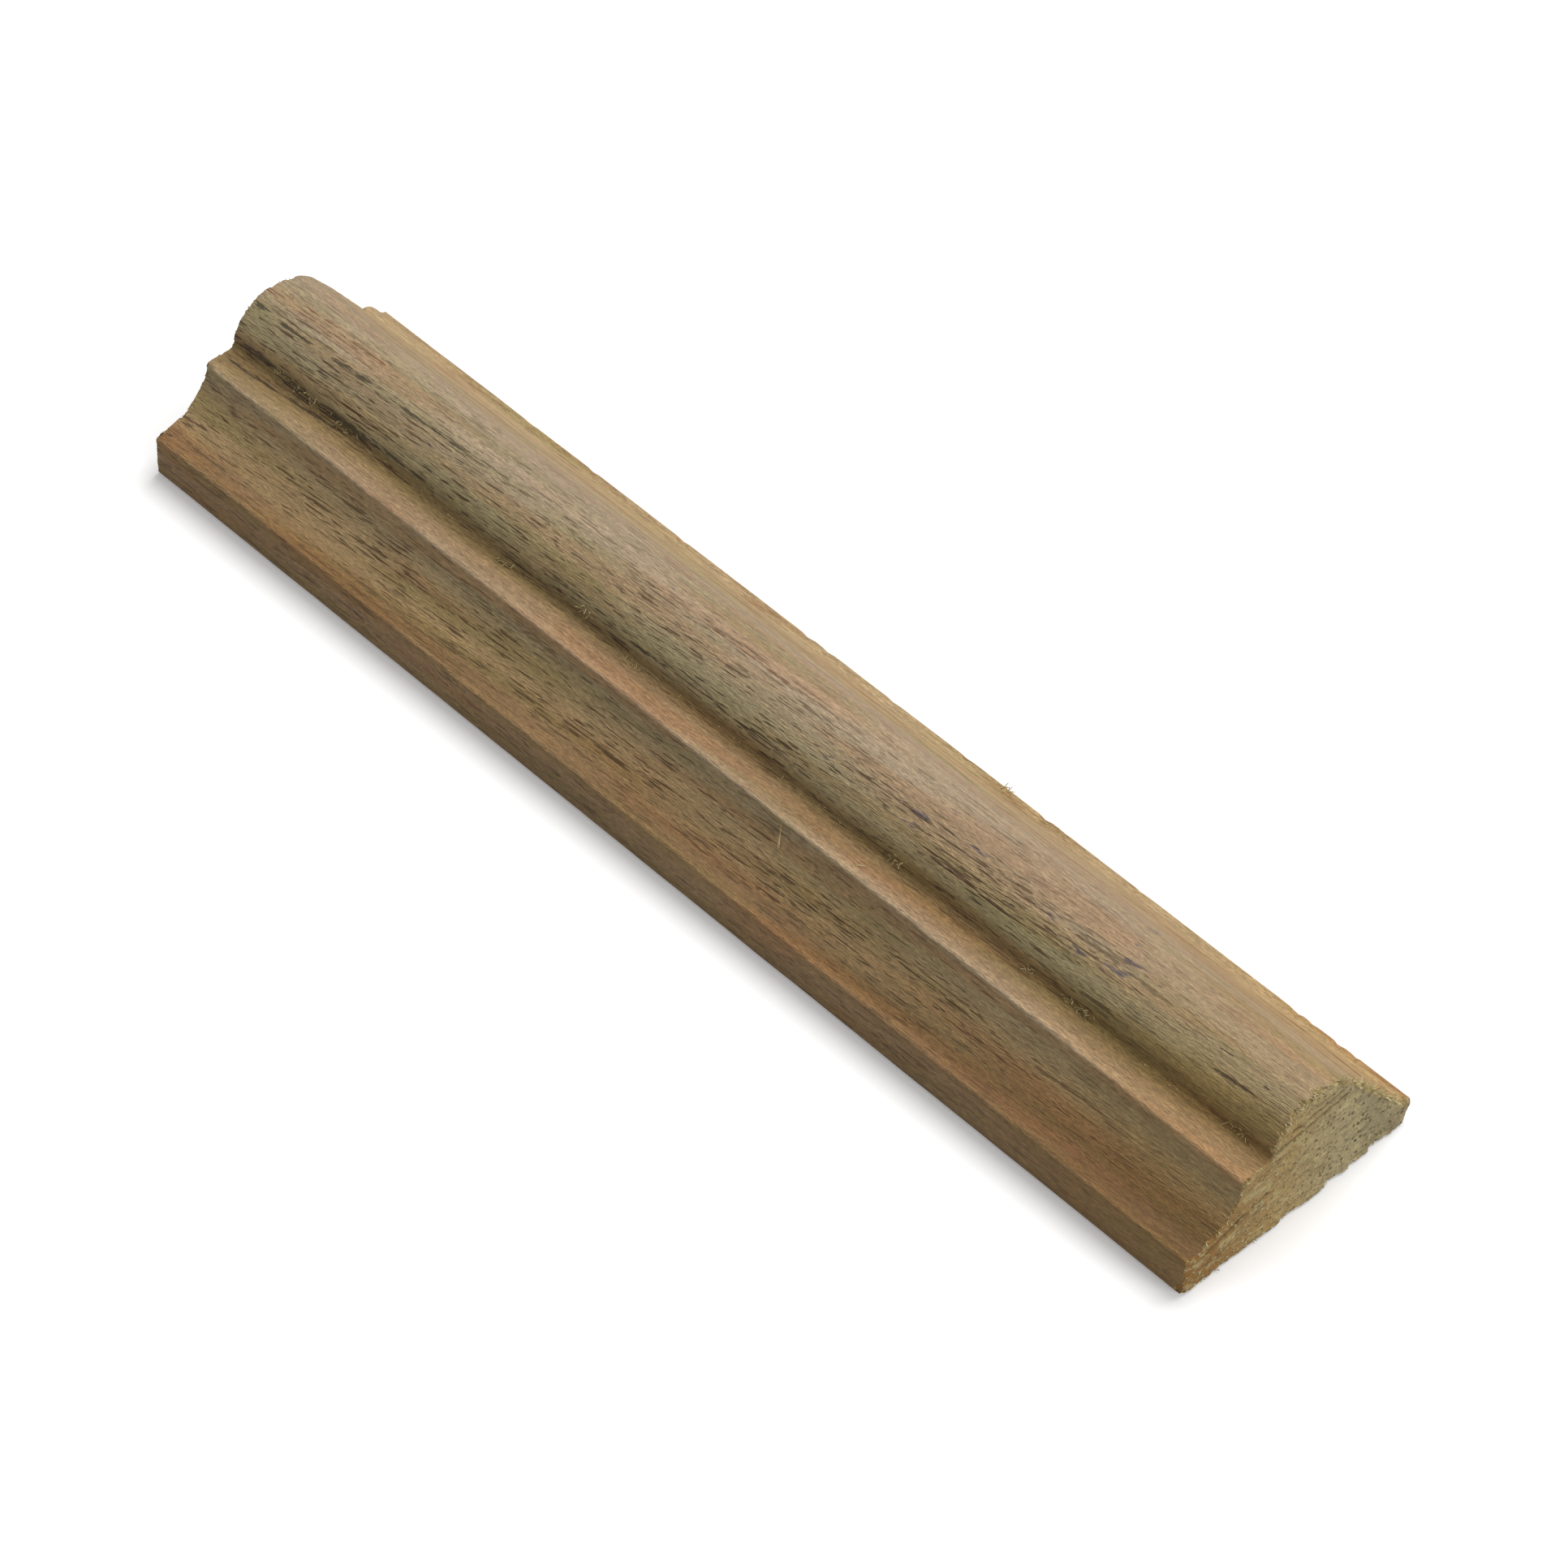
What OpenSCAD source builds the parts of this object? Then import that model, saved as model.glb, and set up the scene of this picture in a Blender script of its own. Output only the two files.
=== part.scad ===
// A short sawn length of wooden wall moulding. It lies on its flat back: the
// front edge faces -Y, the thin back edge faces +Y, and the grain runs along X.
// Its face has, from front to back, a lip, a cove, a flat fillet, a round bead
// and a long bevel that falls to a narrow toe.

/* [Run] */
// Length from sawn end to sawn end
length = 203; // [60:1:600]
// Width across the flat back
width = 45; // [42:0.5:60]

/* [Front edge and cove] */
// Height of the front edge
lip_h = 7.5; // [4:0.5:12]
// Flat on top of the front edge, in front of the cove
lip_w = 1.5; // [1:0.25:3]
// Radius of the cove, a full quarter round
cove_r = 8.3; // [6:0.1:10]

/* [Fillet and bead] */
// Width of the flat fillet between the cove and the bead
fillet_w = 5.2; // [3:0.1:7]
// Radius of the bead's front quarter, which stands up from the fillet
bead_r = 7.2; // [5:0.1:8]
// Radius of the bead's broader back shoulder
shoulder_r = 10.8; // [8:0.2:13]
// Radius that the cutter leaves in the corner of fillet and bead
quirk_r = 0.8; // [0.3:0.1:1.5]

/* [Back edge] */
// Height of the thin back edge
toe_h = 4; // [3:0.5:7]
// Level top of the back edge, from its face to the line of the bevel
toe_w = 1.8; // [1.2:0.1:4]
// Radius that the cutter leaves between bevel and toe
toe_r = 2.2; // [1:0.1:4]

/* [Arrises] */
// Radius on the arrises of the moulded face
arris_r = 0.6; // [0.3:0.1:0.7]
// Radius on the two arrises of the back
back_arris_r = 0.5; // [0.2:0.1:0.8]

/* [Hidden] */
$fn = 96;
// How far a shape that is cut runs past the wood, so that no skin is left
past = 1;
// How deep an arc runs past a line or arc that it would only touch, so that
// the two cross at one clean edge and leave no sliver
bite = 0.002;
// Least level top that stays between the toe's two roundings
least_flat = 0.1;
wood = [0.62, 0.50, 0.35];

// Point at a distance and an angle from a centre
function polar(centre, radius, angle) = centre + radius * [cos(angle), sin(angle)];

// How far apart along a level line the centres of two circles lie that touch
// from outside, where one is centred on the line and the other rests on it
function side_reach(centred_r, resting_r) = sqrt(pow(centred_r + resting_r, 2) - pow(resting_r, 2));

// The section is drawn with its front bottom corner at 0, 0: u runs to the back
// and v runs up.
crest_u = lip_w + cove_r;
crest_v = lip_h + cove_r;
bead_c = [crest_u + fillet_w + bead_r, crest_v];
shoulder_c = bead_c + [0, bead_r - shoulder_r];

// The bevel runs from its foot on the toe to where it is tangent to the shoulder.
foot = [width - toe_w, toe_h];
foot_arm = foot - shoulder_c;
bevel_arm = shoulder_r - bite;
bevel_turn = atan2(foot_arm[1], foot_arm[0]) + acos(bevel_arm / norm(foot_arm));
bevel_top = polar(shoulder_c, bevel_arm, bevel_turn);
bevel_pitch = 90 - bevel_turn;

// The radius between bevel and toe takes no more than the level top has room for.
toe_room = toe_w - arris_r - least_flat;
toe_fill_r = min(toe_r, toe_room / tan(bevel_pitch / 2));

// The straight-sided wood under the face, up to the height of the fillet
module core_2d() {
    polygon([[0, 0], [width, 0], [width, toe_h], foot, bevel_top, shoulder_c, bead_c, [0, crest_v]]);
}

// A quarter of a round bar, up and to one side of its centre; side is 1 or -1
module quarter_2d(centre, radius, side) {
    intersection() {
        translate(centre) circle(r = radius);
        translate(centre) mirror([side < 0 ? 1 : 0, 0]) square(radius + past);
    }
}

// The bead: a tight quarter in front and a broader shoulder behind one crown
module bead_2d() {
    quarter_2d(bead_c, bead_r, -1);
    quarter_2d(shoulder_c, shoulder_r, 1);
}

// The hollow between the lip and the crest, open to the front
module cove_2d() {
    translate([lip_w, crest_v - bite]) circle(r = cove_r);
    translate([-past, lip_h]) square([lip_w + past, cove_r + past]);
}

// Wood left in the corner of fillet and bead
module quirk_2d() {
    centre = bead_c + [-side_reach(bead_r, quirk_r), quirk_r];
    difference() {
        polygon([[centre[0], crest_v - past], bead_c, centre]);
        translate(centre) circle(r = quirk_r + bite);
    }
}

// Wood left between bevel and toe
module toe_fill_2d() {
    reach = toe_fill_r * tan(bevel_pitch / 2);
    centre = foot + [reach, toe_fill_r];
    difference() {
        polygon([foot - [0, past], foot + [reach, -past], centre, polar(foot, reach, 180 - bevel_pitch)]);
        translate(centre) circle(r = toe_fill_r + bite);
    }
}

// What easing takes off a square corner at the origin, whose wood lies towards
// -u and -v
module ease_2d(radius) {
    difference() {
        translate([-radius, -radius]) square(radius + past);
        translate([-radius, -radius]) circle(r = radius);
    }
}

// What easing takes off the crest, where the fillet meets the cove's wall
module crest_ease_2d() {
    centre = [lip_w + side_reach(cove_r, arris_r), crest_v - arris_r];
    difference() {
        polygon([centre, [lip_w, crest_v - bite], [lip_w, crest_v + past], [centre[0], crest_v + past]]);
        translate(centre) circle(r = arris_r + bite);
    }
}

// The moulded section
module section_2d() {
    difference() {
        union() {
            difference() {
                core_2d();
                cove_2d();
            }
            bead_2d();
            quirk_2d();
            toe_fill_2d();
        }
        crest_ease_2d();
        translate([0, lip_h]) mirror([1, 0]) ease_2d(arris_r);
        translate([width, toe_h]) ease_2d(arris_r);
        mirror([1, 0]) mirror([0, 1]) ease_2d(back_arris_r);
        translate([width, 0]) mirror([0, 1]) ease_2d(back_arris_r);
    }
}

// One piece of wood, with the middle of its back at the origin
module moulding() {
    color(wood)
        translate([-length / 2, -width / 2, 0])
            rotate([90, 0, 90])
                linear_extrude(height = length) section_2d();
}

moulding();
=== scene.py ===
"""Visual model of a short sawn length of raw hardwood wall moulding.

The piece lies on its flat back: the front edge faces -Y, the thin back edge
faces +Y and the grain runs along X. Sizes in this file are in millimetres
unless a name or comment says otherwise. "Across" is the distance along the
outline of the section, from the front bottom corner over the face to the back.
"""
import logging
import math
from dataclasses import dataclass, field
from enum import Enum
from functools import partial
from typing import Any, Iterable, Sequence

import bpy
import numpy as np
from bpy.types import Material, Mesh, Node, NodeSocket, NodeTree, Object
from mathutils import Matrix, Vector
from mathutils.geometry import delaunay_2d_cdt


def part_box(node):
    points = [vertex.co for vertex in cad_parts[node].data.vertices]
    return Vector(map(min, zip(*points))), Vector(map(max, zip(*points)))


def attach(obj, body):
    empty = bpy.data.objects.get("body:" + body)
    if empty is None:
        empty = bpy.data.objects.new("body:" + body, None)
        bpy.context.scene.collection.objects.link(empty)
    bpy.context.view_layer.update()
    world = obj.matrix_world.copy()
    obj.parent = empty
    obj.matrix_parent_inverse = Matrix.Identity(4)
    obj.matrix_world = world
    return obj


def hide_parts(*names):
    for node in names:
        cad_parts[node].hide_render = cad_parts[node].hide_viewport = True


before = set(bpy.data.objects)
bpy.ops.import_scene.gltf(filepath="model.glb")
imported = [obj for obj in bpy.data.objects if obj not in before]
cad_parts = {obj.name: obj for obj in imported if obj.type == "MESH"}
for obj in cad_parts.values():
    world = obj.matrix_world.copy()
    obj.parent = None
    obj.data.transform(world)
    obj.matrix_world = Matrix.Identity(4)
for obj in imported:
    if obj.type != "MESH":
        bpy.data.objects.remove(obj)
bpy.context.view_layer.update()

LOG = logging.getLogger("moulding")
NODE = "moulding"
BODY = "root"
# Metres in a millimetre
MM = 0.001
# About the turn between two points of an arc, in degrees
ARC_STEP = 4
# What an input can be linked to: an output socket, or a node's first output in use
Feed = Node | NodeSocket
# Settings that many nodes share
PLUS = {"operation": "ADD"}
TIMES = {"operation": "MULTIPLY"}
TIMES_PLUS = {"operation": "MULTIPLY_ADD"}
DIVIDED = {"operation": "DIVIDE"}
SCALED = {"operation": "SCALE"}
LARGER = {"operation": "MAXIMUM"}
EASED = {"interpolation_type": "SMOOTHSTEP"}
UNCLAMPED = {"clamp": False}
BLENDED = {"data_type": "RGBA"}
TINTED = {"data_type": "RGBA", "blend_type": "MULTIPLY"}
NUMBER = {"data_type": "FLOAT"}
VECTOR = {"data_type": "FLOAT_VECTOR"}


def linear(code: str) -> tuple[float, float, float, float]:
    """Turn an sRGB hex colour into the linear colour that a shader takes.

    Args:
        code: Colour as six hex digits after a #.

    Returns:
        Linear red, green and blue, and an alpha of 1.
    """
    digits = code.lstrip("#")
    parts = [int(digits[place:place + 2], 16) / 255 for place in (0, 2, 4)]
    light = [p / 12.92 if p <= 0.04045 else ((p + 0.055) / 1.055) ** 2.4 for p in parts]
    return light[0], light[1], light[2], 1.0


def add_node(tree: NodeTree, kind: str, settings: dict[str, Any] | None = None, **inputs: Any) -> Node:
    """Add one node to a tree with its settings and its inputs.

    Args:
        tree: Node tree that takes the node.
        kind: Blender's name for the node type.
        settings: Properties of the node, such as an operation or data type.
        **inputs: Values, nodes or output sockets by input name, with _ for a
            space. A node stands for its first output in use. A name of the
            form in0, in1 and so on gives the input's number.

    Returns:
        The new node.
    """
    node = tree.nodes.new(kind)
    for name, value in (settings or {}).items():
        setattr(node, name, value)
    for name, value in inputs.items():
        if name.startswith("in") and name[2:].isdigit():
            socket = node.inputs[int(name[2:])]
        else:
            wanted = name.replace("_", " ").lower()
            socket = next(s for s in node.inputs if s.name.lower() == wanted and s.enabled)
        if isinstance(value, Node):
            value = next(s for s in value.outputs if s.enabled)
        if isinstance(value, NodeSocket):
            tree.links.new(value, socket)
        else:
            socket.default_value = value
    return node


def smooth(low: float, high: float, value: np.ndarray) -> np.ndarray:
    """Ease from 0 at low to 1 at high.

    Args:
        low: Value that gives 0.
        high: Value that gives 1.
        value: Numbers to ease.

    Returns:
        Numbers from 0 to 1.
    """
    share = np.clip((value - low) / (high - low), 0.0, 1.0)
    return share * share * (3 - 2 * share)


def ripple(value: np.ndarray, spacing: float, seed: int) -> np.ndarray:
    """Give smooth random numbers from 0 to 1 along a line.

    Args:
        value: Places along the line.
        spacing: Distance between one random number and the next.
        seed: Which random numbers to use.

    Returns:
        One number for each place.
    """
    count = 4096
    source = np.random.default_rng(seed).random(count)
    spot = value / spacing + count // 2
    first = np.floor(spot).astype(int)
    share = smooth(0.0, 1.0, spot - first)
    return source[first % count] * (1 - share) + source[(first + 1) % count] * share


def arc(centre: Sequence[float], radius: float, start: float, end: float) -> list[tuple[float, float]]:
    """Give points along an arc, close enough that the chords don't show.

    Args:
        centre: Middle of the circle.
        radius: Its radius.
        start: First angle in degrees.
        end: Last angle in degrees.

    Returns:
        Points from the first angle to the last.
    """
    count = max(4, int(abs(end - start) / ARC_STEP))
    turns = np.radians(np.linspace(start, end, count + 1))
    return [(centre[0] + radius * math.cos(t), centre[1] + radius * math.sin(t)) for t in turns]


@dataclass(frozen=True)
class Section:
    """The moulded section, drawn from its front bottom corner: u to the back, v up.

    Attributes:
        width: Width across the flat back.
        lip_h: Height of the front edge.
        lip_w: Flat on top of it, in front of the cove.
        cove_r: Radius of the cove, a full quarter round.
        fillet_w: Width of the flat fillet between the cove and the bead.
        bead_r: Radius of the bead's front quarter.
        shoulder_r: Radius of the bead's broader back shoulder.
        quirk_r: Radius in the corner of fillet and bead.
        toe_h: Height of the thin back edge.
        toe_w: Level top of the back edge.
        toe_r: Radius between bevel and toe.
        arris_r: Radius on the arrises of the moulded face.
        back_arris_r: Radius on the two arrises of the back.
        least_flat: Least level top between the toe's two roundings.
        face_step: Largest spacing of the points on the moulded face.
        back_step: The same on the flat back.
    """

    width: float = 45.0
    lip_h: float = 7.5
    lip_w: float = 1.5
    cove_r: float = 8.3
    fillet_w: float = 5.2
    bead_r: float = 7.2
    shoulder_r: float = 10.8
    quirk_r: float = 0.8
    toe_h: float = 4.0
    toe_w: float = 1.8
    toe_r: float = 2.2
    arris_r: float = 0.6
    back_arris_r: float = 0.5
    least_flat: float = 0.1
    face_step: float = 0.29
    back_step: float = 0.8

    def corners(self) -> list[tuple[float, float]]:
        """Give the outline of the moulded face, from front bottom to back bottom.

        Returns:
            Points in order, u and v in millimetres.
        """
        crest = (self.lip_w + self.cove_r, self.lip_h + self.cove_r)
        bead = (crest[0] + self.fillet_w + self.bead_r, crest[1])
        shoulder = (bead[0], crest[1] + self.bead_r - self.shoulder_r)
        # The bevel runs from its foot on the toe to where it is tangent to the shoulder
        foot = (self.width - self.toe_w, self.toe_h)
        arm = (foot[0] - shoulder[0], foot[1] - shoulder[1])
        lean = math.acos(self.shoulder_r / math.hypot(*arm))
        turn = math.degrees(math.atan2(arm[1], arm[0]) + lean)
        half = math.tan(math.radians((90 - turn) / 2))
        fill = min(self.toe_r, (self.toe_w - self.arris_r - self.least_flat) / half)
        # Centres of the roundings that touch the cove at the crest and the bead in the quirk
        reach = math.sqrt((self.cove_r + self.arris_r) ** 2 - self.arris_r ** 2)
        ease = (self.lip_w + reach, crest[1] - self.arris_r)
        away = math.sqrt((self.bead_r + self.quirk_r) ** 2 - self.quirk_r ** 2)
        quirk = (bead[0] - away, crest[1] + self.quirk_r)
        rise = math.degrees(math.atan2(bead[1] - quirk[1], bead[0] - quirk[0]))
        drop = math.degrees(math.asin(self.arris_r / (self.cove_r + self.arris_r)))
        points = [(0.0, self.back_arris_r)]
        points += arc((self.arris_r, self.lip_h - self.arris_r), self.arris_r, 180, 90)
        points += arc((self.lip_w, crest[1]), self.cove_r, -90, -drop)
        points += arc(ease, self.arris_r, 180 - drop, 90)
        points += arc(quirk, self.quirk_r, -90, rise)
        points += arc(bead, self.bead_r, 180 + rise, 90)
        points += arc(shoulder, self.shoulder_r, 90, turn)
        points += arc((foot[0] + fill * half, foot[1] + fill), fill, 180 + turn, 270)
        points += arc((self.width - self.arris_r, self.toe_h - self.arris_r), self.arris_r, 90, 0)
        points += [(self.width, self.back_arris_r)]
        return points

    def underside(self) -> list[tuple[float, float]]:
        """Give the outline of the flat back, from back bottom to front bottom."""
        low = self.back_arris_r
        points = arc((self.width - low, low), low, 0, -90)
        return points + arc((low, low), low, -90, -180)

    @staticmethod
    def spread(points: Iterable[Sequence[float]], step: float) -> np.ndarray:
        """Place points evenly along a line.

        Args:
            points: Corners of the line.
            step: Largest distance between two placed points.

        Returns:
            Placed points, first and last included.
        """
        line = np.array(list(points), float)
        gaps = np.hypot(*np.diff(line, axis=0).T)
        line = line[np.concatenate([[True], gaps > 1e-6])]
        run = np.concatenate([[0.0], np.cumsum(np.hypot(*np.diff(line, axis=0).T))])
        wanted = np.linspace(0, run[-1], int(math.ceil(run[-1] / step)) + 1)
        return np.stack([np.interp(wanted, run, line[:, k]) for k in (0, 1)], axis=1)

    def crest(self) -> float:
        """Give the distance across of the crest, where the cove's wall meets the fillet."""
        top = (self.lip_w + self.cove_r, self.lip_h + self.cove_r)
        points, _, across = self.loop()
        return float(across[np.hypot(points[:, 0] - top[0], points[:, 1] - top[1]).argmin()])

    def loop(self) -> tuple[np.ndarray, np.ndarray, np.ndarray]:
        """Give the closed outline with its normals and its distance across.

        Returns:
            Points, outward normals, and the distance across of each point.
        """
        face = self.spread(self.corners(), self.face_step)
        back = self.spread(self.underside(), self.back_step)
        points = np.concatenate([face[:-1], back[:-1]])
        after = np.roll(points, -1, axis=0)
        along = after - np.roll(points, 1, axis=0)
        normals = np.stack([-along[:, 1], along[:, 0]], axis=1)
        normals /= np.linalg.norm(normals, axis=1)[:, None]
        across = np.concatenate([[0.0], np.cumsum(np.hypot(*(after - points).T))[:-1]])
        return points, normals, across


class Paint(Enum):
    """What a mark on the face is, and the attribute that carries it to the material."""

    BLUE_STAIN = "blue_stain"
    DARK_PORE = "dark_pore"
    RED_STREAK = "red_streak"
    TORN = "torn_grain"


@dataclass(frozen=True)
class Mark:
    """One mark on the face, a tapered line from one place to another.

    Attributes:
        start: Place along the length and across.
        end: The same for its other end.
        width: Full width.
        strength: How strong it is in its middle, from 0 to 1.
    """

    start: tuple[float, float]
    end: tuple[float, float]
    width: float
    strength: float = 1.0

    def cover(self, along: np.ndarray, across: np.ndarray) -> np.ndarray:
        """Say how much of the mark lies on each point.

        Args:
            along: Places along the length.
            across: Places across.

        Returns:
            Strength at each point, from 0 to 1.
        """
        # The line tapers to its ends and fades off softly at its sides
        span = self.end[0] - self.start[0]
        share = (along - self.start[0]) / span
        line = self.start[1] + (self.end[1] - self.start[1]) * np.clip(share, 0.0, 1.0)
        side = np.abs(across - line) / (self.width / 2)
        fade = min(0.5, 0.15 + self.width / abs(span))
        ends = smooth(-fade / 2, fade, share) * smooth(-fade / 2, fade, 1 - share)
        return self.strength * ends * (1 - smooth(0.3, 1.4, side))


MARKS: dict[Paint, tuple[Mark, ...]] = {
    Paint.BLUE_STAIN: (
        Mark((29.9, 34.3), (34.8, 34.9), 1.3),
        Mark((34.2, 34.7), (39.4, 35.2), 1.0, 0.95),
        Mark((39.6, 35.2), (45.2, 35.7), 1.1, 0.95),
        Mark((30.3, 32.6), (34.5, 32.8), 1.6),
        Mark((26.9, 40.1), (31.3, 40.4), 1.0, 0.6),
        Mark((33.7, 38.3), (36.9, 38.4), 1.0, 0.8),
        Mark((34.5, 42.9), (39.1, 42.9), 1.8, 0.6),
        Mark((54.3, 34.2), (58.5, 34.9), 1.8),
        Mark((60.3, 32.6), (65.3, 33.4), 2.0),
        Mark((65.1, 33.6), (72.1, 34.6), 1.8),
        Mark((66.9, 36.0), (73.5, 36.6), 1.6),
        Mark((66.9, 39.2), (68.9, 39.3), 0.8),
        Mark((61.7, 45.8), (69.7, 44.6), 3.4, 0.8),
        Mark((72.5, 32.2), (75.9, 32.9), 1.2, 0.8),
        Mark((-9.3, 32.5), (-5.9, 32.8), 1.2, 0.8),
        Mark((7.5, 33.8), (11.5, 33.7), 1.3, 0.8),
        Mark((13.5, 33.0), (18.3, 32.9), 1.6, 0.8),
        Mark((-75.5, 33.2), (-73.9, 32.8), 1.0, 0.8),
        Mark((-65.5, 32.9), (-60.5, 33.6), 1.2, 0.8),
    ),
    Paint.DARK_PORE: (
        Mark((-101.5, 33.8), (-97.6, 34.2), 0.75),
        Mark((-96.9, 33.8), (-88.0, 34.2), 0.75),
        Mark((-86.0, 34.4), (-76.0, 35.1), 1.0),
        Mark((-75.3, 34.9), (-56.9, 35.5), 0.6, 0.95),
        Mark((-90.5, 29.8), (-80.5, 30.3), 0.34, 0.8),
        Mark((-80.0, 30.3), (-62.0, 30.2), 0.48, 0.9),
        Mark((-77.5, 31.1), (-74.9, 31.1), 0.48),
        Mark((-63.7, 30.3), (-52.1, 30.2), 0.34, 0.8),
        Mark((-101.4, 27.2), (-91.0, 28.0), 1.8),
        Mark((-94.0, 27.4), (-83.0, 27.0), 2.6, 0.9),
        Mark((-86.0, 27.8), (-70.0, 27.0), 2.4, 0.95),
        Mark((-74.0, 28.2), (-57.0, 28.2), 1.4, 0.85),
        Mark((-55.0, 27.8), (-43.0, 28.0), 0.8, 0.7),
        Mark((-36.0, 28.8), (-24.0, 29.3), 0.6, 0.8),
        Mark((-41.1, 39.4), (-10.7, 41.9), 0.34, 0.7),
        Mark((-24.7, 36.8), (-19.5, 37.2), 0.48),
        Mark((-16.5, 33.0), (-14.0, 33.3), 0.41),
        Mark((-13.5, 32.3), (-12.0, 32.5), 0.34),
        Mark((-20.9, 28.3), (-10.3, 28.9), 0.8, 0.9),
        Mark((-10.1, 29.6), (-4.3, 29.9), 0.48, 0.9),
        Mark((-10.1, 30.6), (-4.3, 30.7), 0.41, 0.8),
        Mark((-12.5, 34.0), (8.7, 33.6), 0.34, 0.7),
        Mark((3.5, 32.6), (22.3, 34.2), 0.34, 0.7),
        Mark((5.0, 28.9), (16.0, 29.3), 0.6, 0.8),
        Mark((36.5, 30.7), (42.1, 31.0), 0.54),
        Mark((39.7, 32.1), (45.5, 32.3), 0.41),
        Mark((48.5, 32.1), (52.3, 32.5), 0.41),
        Mark((59.3, 30.9), (62.7, 30.9), 0.41),
        Mark((42.3, 33.8), (49.7, 34.1), 0.34, 0.8),
        Mark((60.5, 32.8), (80.7, 37.5), 0.34, 0.7),
        Mark((86.0, 34.4), (89.6, 34.8), 0.54),
        Mark((94.3, 34.1), (96.5, 34.0), 0.54),
        Mark((87.0, 31.8), (96.0, 32.4), 0.68),
        Mark((-101.5, 23.9), (-89.5, 25.0), 0.8),
        Mark((-91.0, 24.9), (-76.0, 26.2), 0.7, 0.95),
        Mark((-100.9, 15.2), (-91.7, 16.3), 0.34, 0.9),
        Mark((-92.9, 18.8), (-87.5, 19.1), 0.34, 0.8),
        Mark((-18.9, 14.8), (-15.7, 14.4), 0.34, 0.8),
        Mark((-13.7, 12.8), (-4.5, 13.7), 0.34, 0.8),
        Mark((-101.2, 8.4), (-99.6, 8.6), 0.75),
    ),
    Paint.RED_STREAK: (
        Mark((-101.0, 37.6), (-86.9, 39.4), 0.6),
        Mark((-88.9, 38.3), (-77.3, 39.0), 0.6),
        Mark((-14.3, 37.4), (12.9, 38.3), 0.6),
        Mark((-18.9, 49.3), (-4.9, 51.4), 0.6),
    ),
    Paint.TORN: (
        Mark((-40.0, 19.4), (-22.0, 17.6), 2.4, 0.8),
        Mark((-92.0, 52.0), (-83.0, 54.0), 2.2, 0.8),
        Mark((-61.0, 55.0), (-50.0, 57.5), 2.5, 0.8),
        Mark((-44.0, 58.0), (-33.0, 60.0), 2.5, 0.8),
        Mark((-28.0, 56.0), (-13.0, 60.0), 2.5, 0.9),
        Mark((6.0, 60.5), (21.0, 56.5), 2.5, 0.9),
        Mark((19.0, 57.0), (31.0, 53.0), 2.8, 0.9),
        Mark((30.9, 48.6), (40.0, 52.0), 2.8),
        Mark((37.0, 58.0), (44.0, 64.0), 2.8, 0.9),
        Mark((43.9, 50.5), (52.0, 56.6), 3.0),
        Mark((50.5, 56.4), (60.0, 61.5), 3.0),
        Mark((58.0, 61.6), (75.0, 63.0), 2.5),
        Mark((74.0, 62.6), (88.0, 62.8), 2.5),
        Mark((86.0, 62.8), (98.5, 60.0), 2.8),
    ),
}


@dataclass(frozen=True)
class Bite:
    """A shallow nick in the face, such as a chip out of an arris, or a low swell.

    Attributes:
        along: Middle of the nick along the length.
        across: Its middle across.
        length: Its length.
        width: Its width.
        depth: How deep it goes; a swell has a negative depth.
    """

    along: float
    across: float
    length: float
    width: float
    depth: float

    def sink(self, along: np.ndarray, across: np.ndarray) -> np.ndarray:
        """Give how deep the nick is at each place.

        Args:
            along: Places along the length.
            across: Places across.

        Returns:
            Depth at each place.
        """
        ahead = (along - self.along) / (self.length / 2)
        aside = (across - self.across) / (self.width / 2)
        return self.depth * (1 - smooth(0.2, 1.0, np.hypot(ahead, aside)))


BITES: tuple[Bite, ...] = (
    # Chips along the foot of the bevel
    Bite(-70.0, 67.6, 2.0, 3.0, 0.15),
    Bite(-56.5, 67.6, 1.6, 3.2, 0.25),
    Bite(-38.0, 67.5, 2.4, 3.0, 0.15),
    Bite(-13.0, 67.4, 2.2, 3.6, 0.25),
    Bite(-9.0, 67.4, 1.6, 3.6, 0.2),
    Bite(4.0, 67.5, 2.0, 3.0, 0.15),
    Bite(18.1, 67.6, 1.4, 3.4, 0.25),
    Bite(33.7, 67.3, 2.4, 3.6, 0.3),
    Bite(37.0, 67.3, 1.4, 3.6, 0.2),
    Bite(52.0, 67.5, 2.0, 3.0, 0.15),
    Bite(80.5, 67.2, 2.6, 3.8, 0.3),
    Bite(83.5, 67.4, 1.6, 3.4, 0.2),
    Bite(88.0, 67.3, 2.4, 3.6, 0.3),
    Bite(91.0, 67.3, 1.8, 3.4, 0.2),
    # Worn corners and swells of the far end
    Bite(-103.0, 7.2, 8.0, 3.4, 0.75),
    Bite(-103.0, 20.9, 7.0, 2.6, 0.5),
    Bite(-104.0, 49.0, 40.0, 24.0, -0.45),
    Bite(-97.0, 68.8, 24.0, 2.0, 0.35),
    Bite(-103.0, 64.6, 46.0, 7.0, -0.8),
    # Torn hollows in the quirk, the cove and the bevel
    Bite(-62.0, 27.4, 7.0, 1.8, 0.25),
    Bite(-78.0, 27.6, 9.0, 2.2, 0.3),
    Bite(-88.0, 27.8, 8.0, 2.0, 0.3),
    Bite(-30.0, 18.6, 9.0, 2.6, 0.15),
    Bite(78.0, 63.2, 16.0, 1.2, 0.25),
    Bite(54.0, 61.4, 9.0, 1.6, 0.25),
)


@dataclass(frozen=True)
class Wear:
    """A stretch of a sawn edge that is rounded or torn back.

    Attributes:
        across: Middle of the stretch.
        spread: Distance from its middle at which it ends.
        depth: Largest depth.
    """

    across: float
    spread: float
    depth: float


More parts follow.
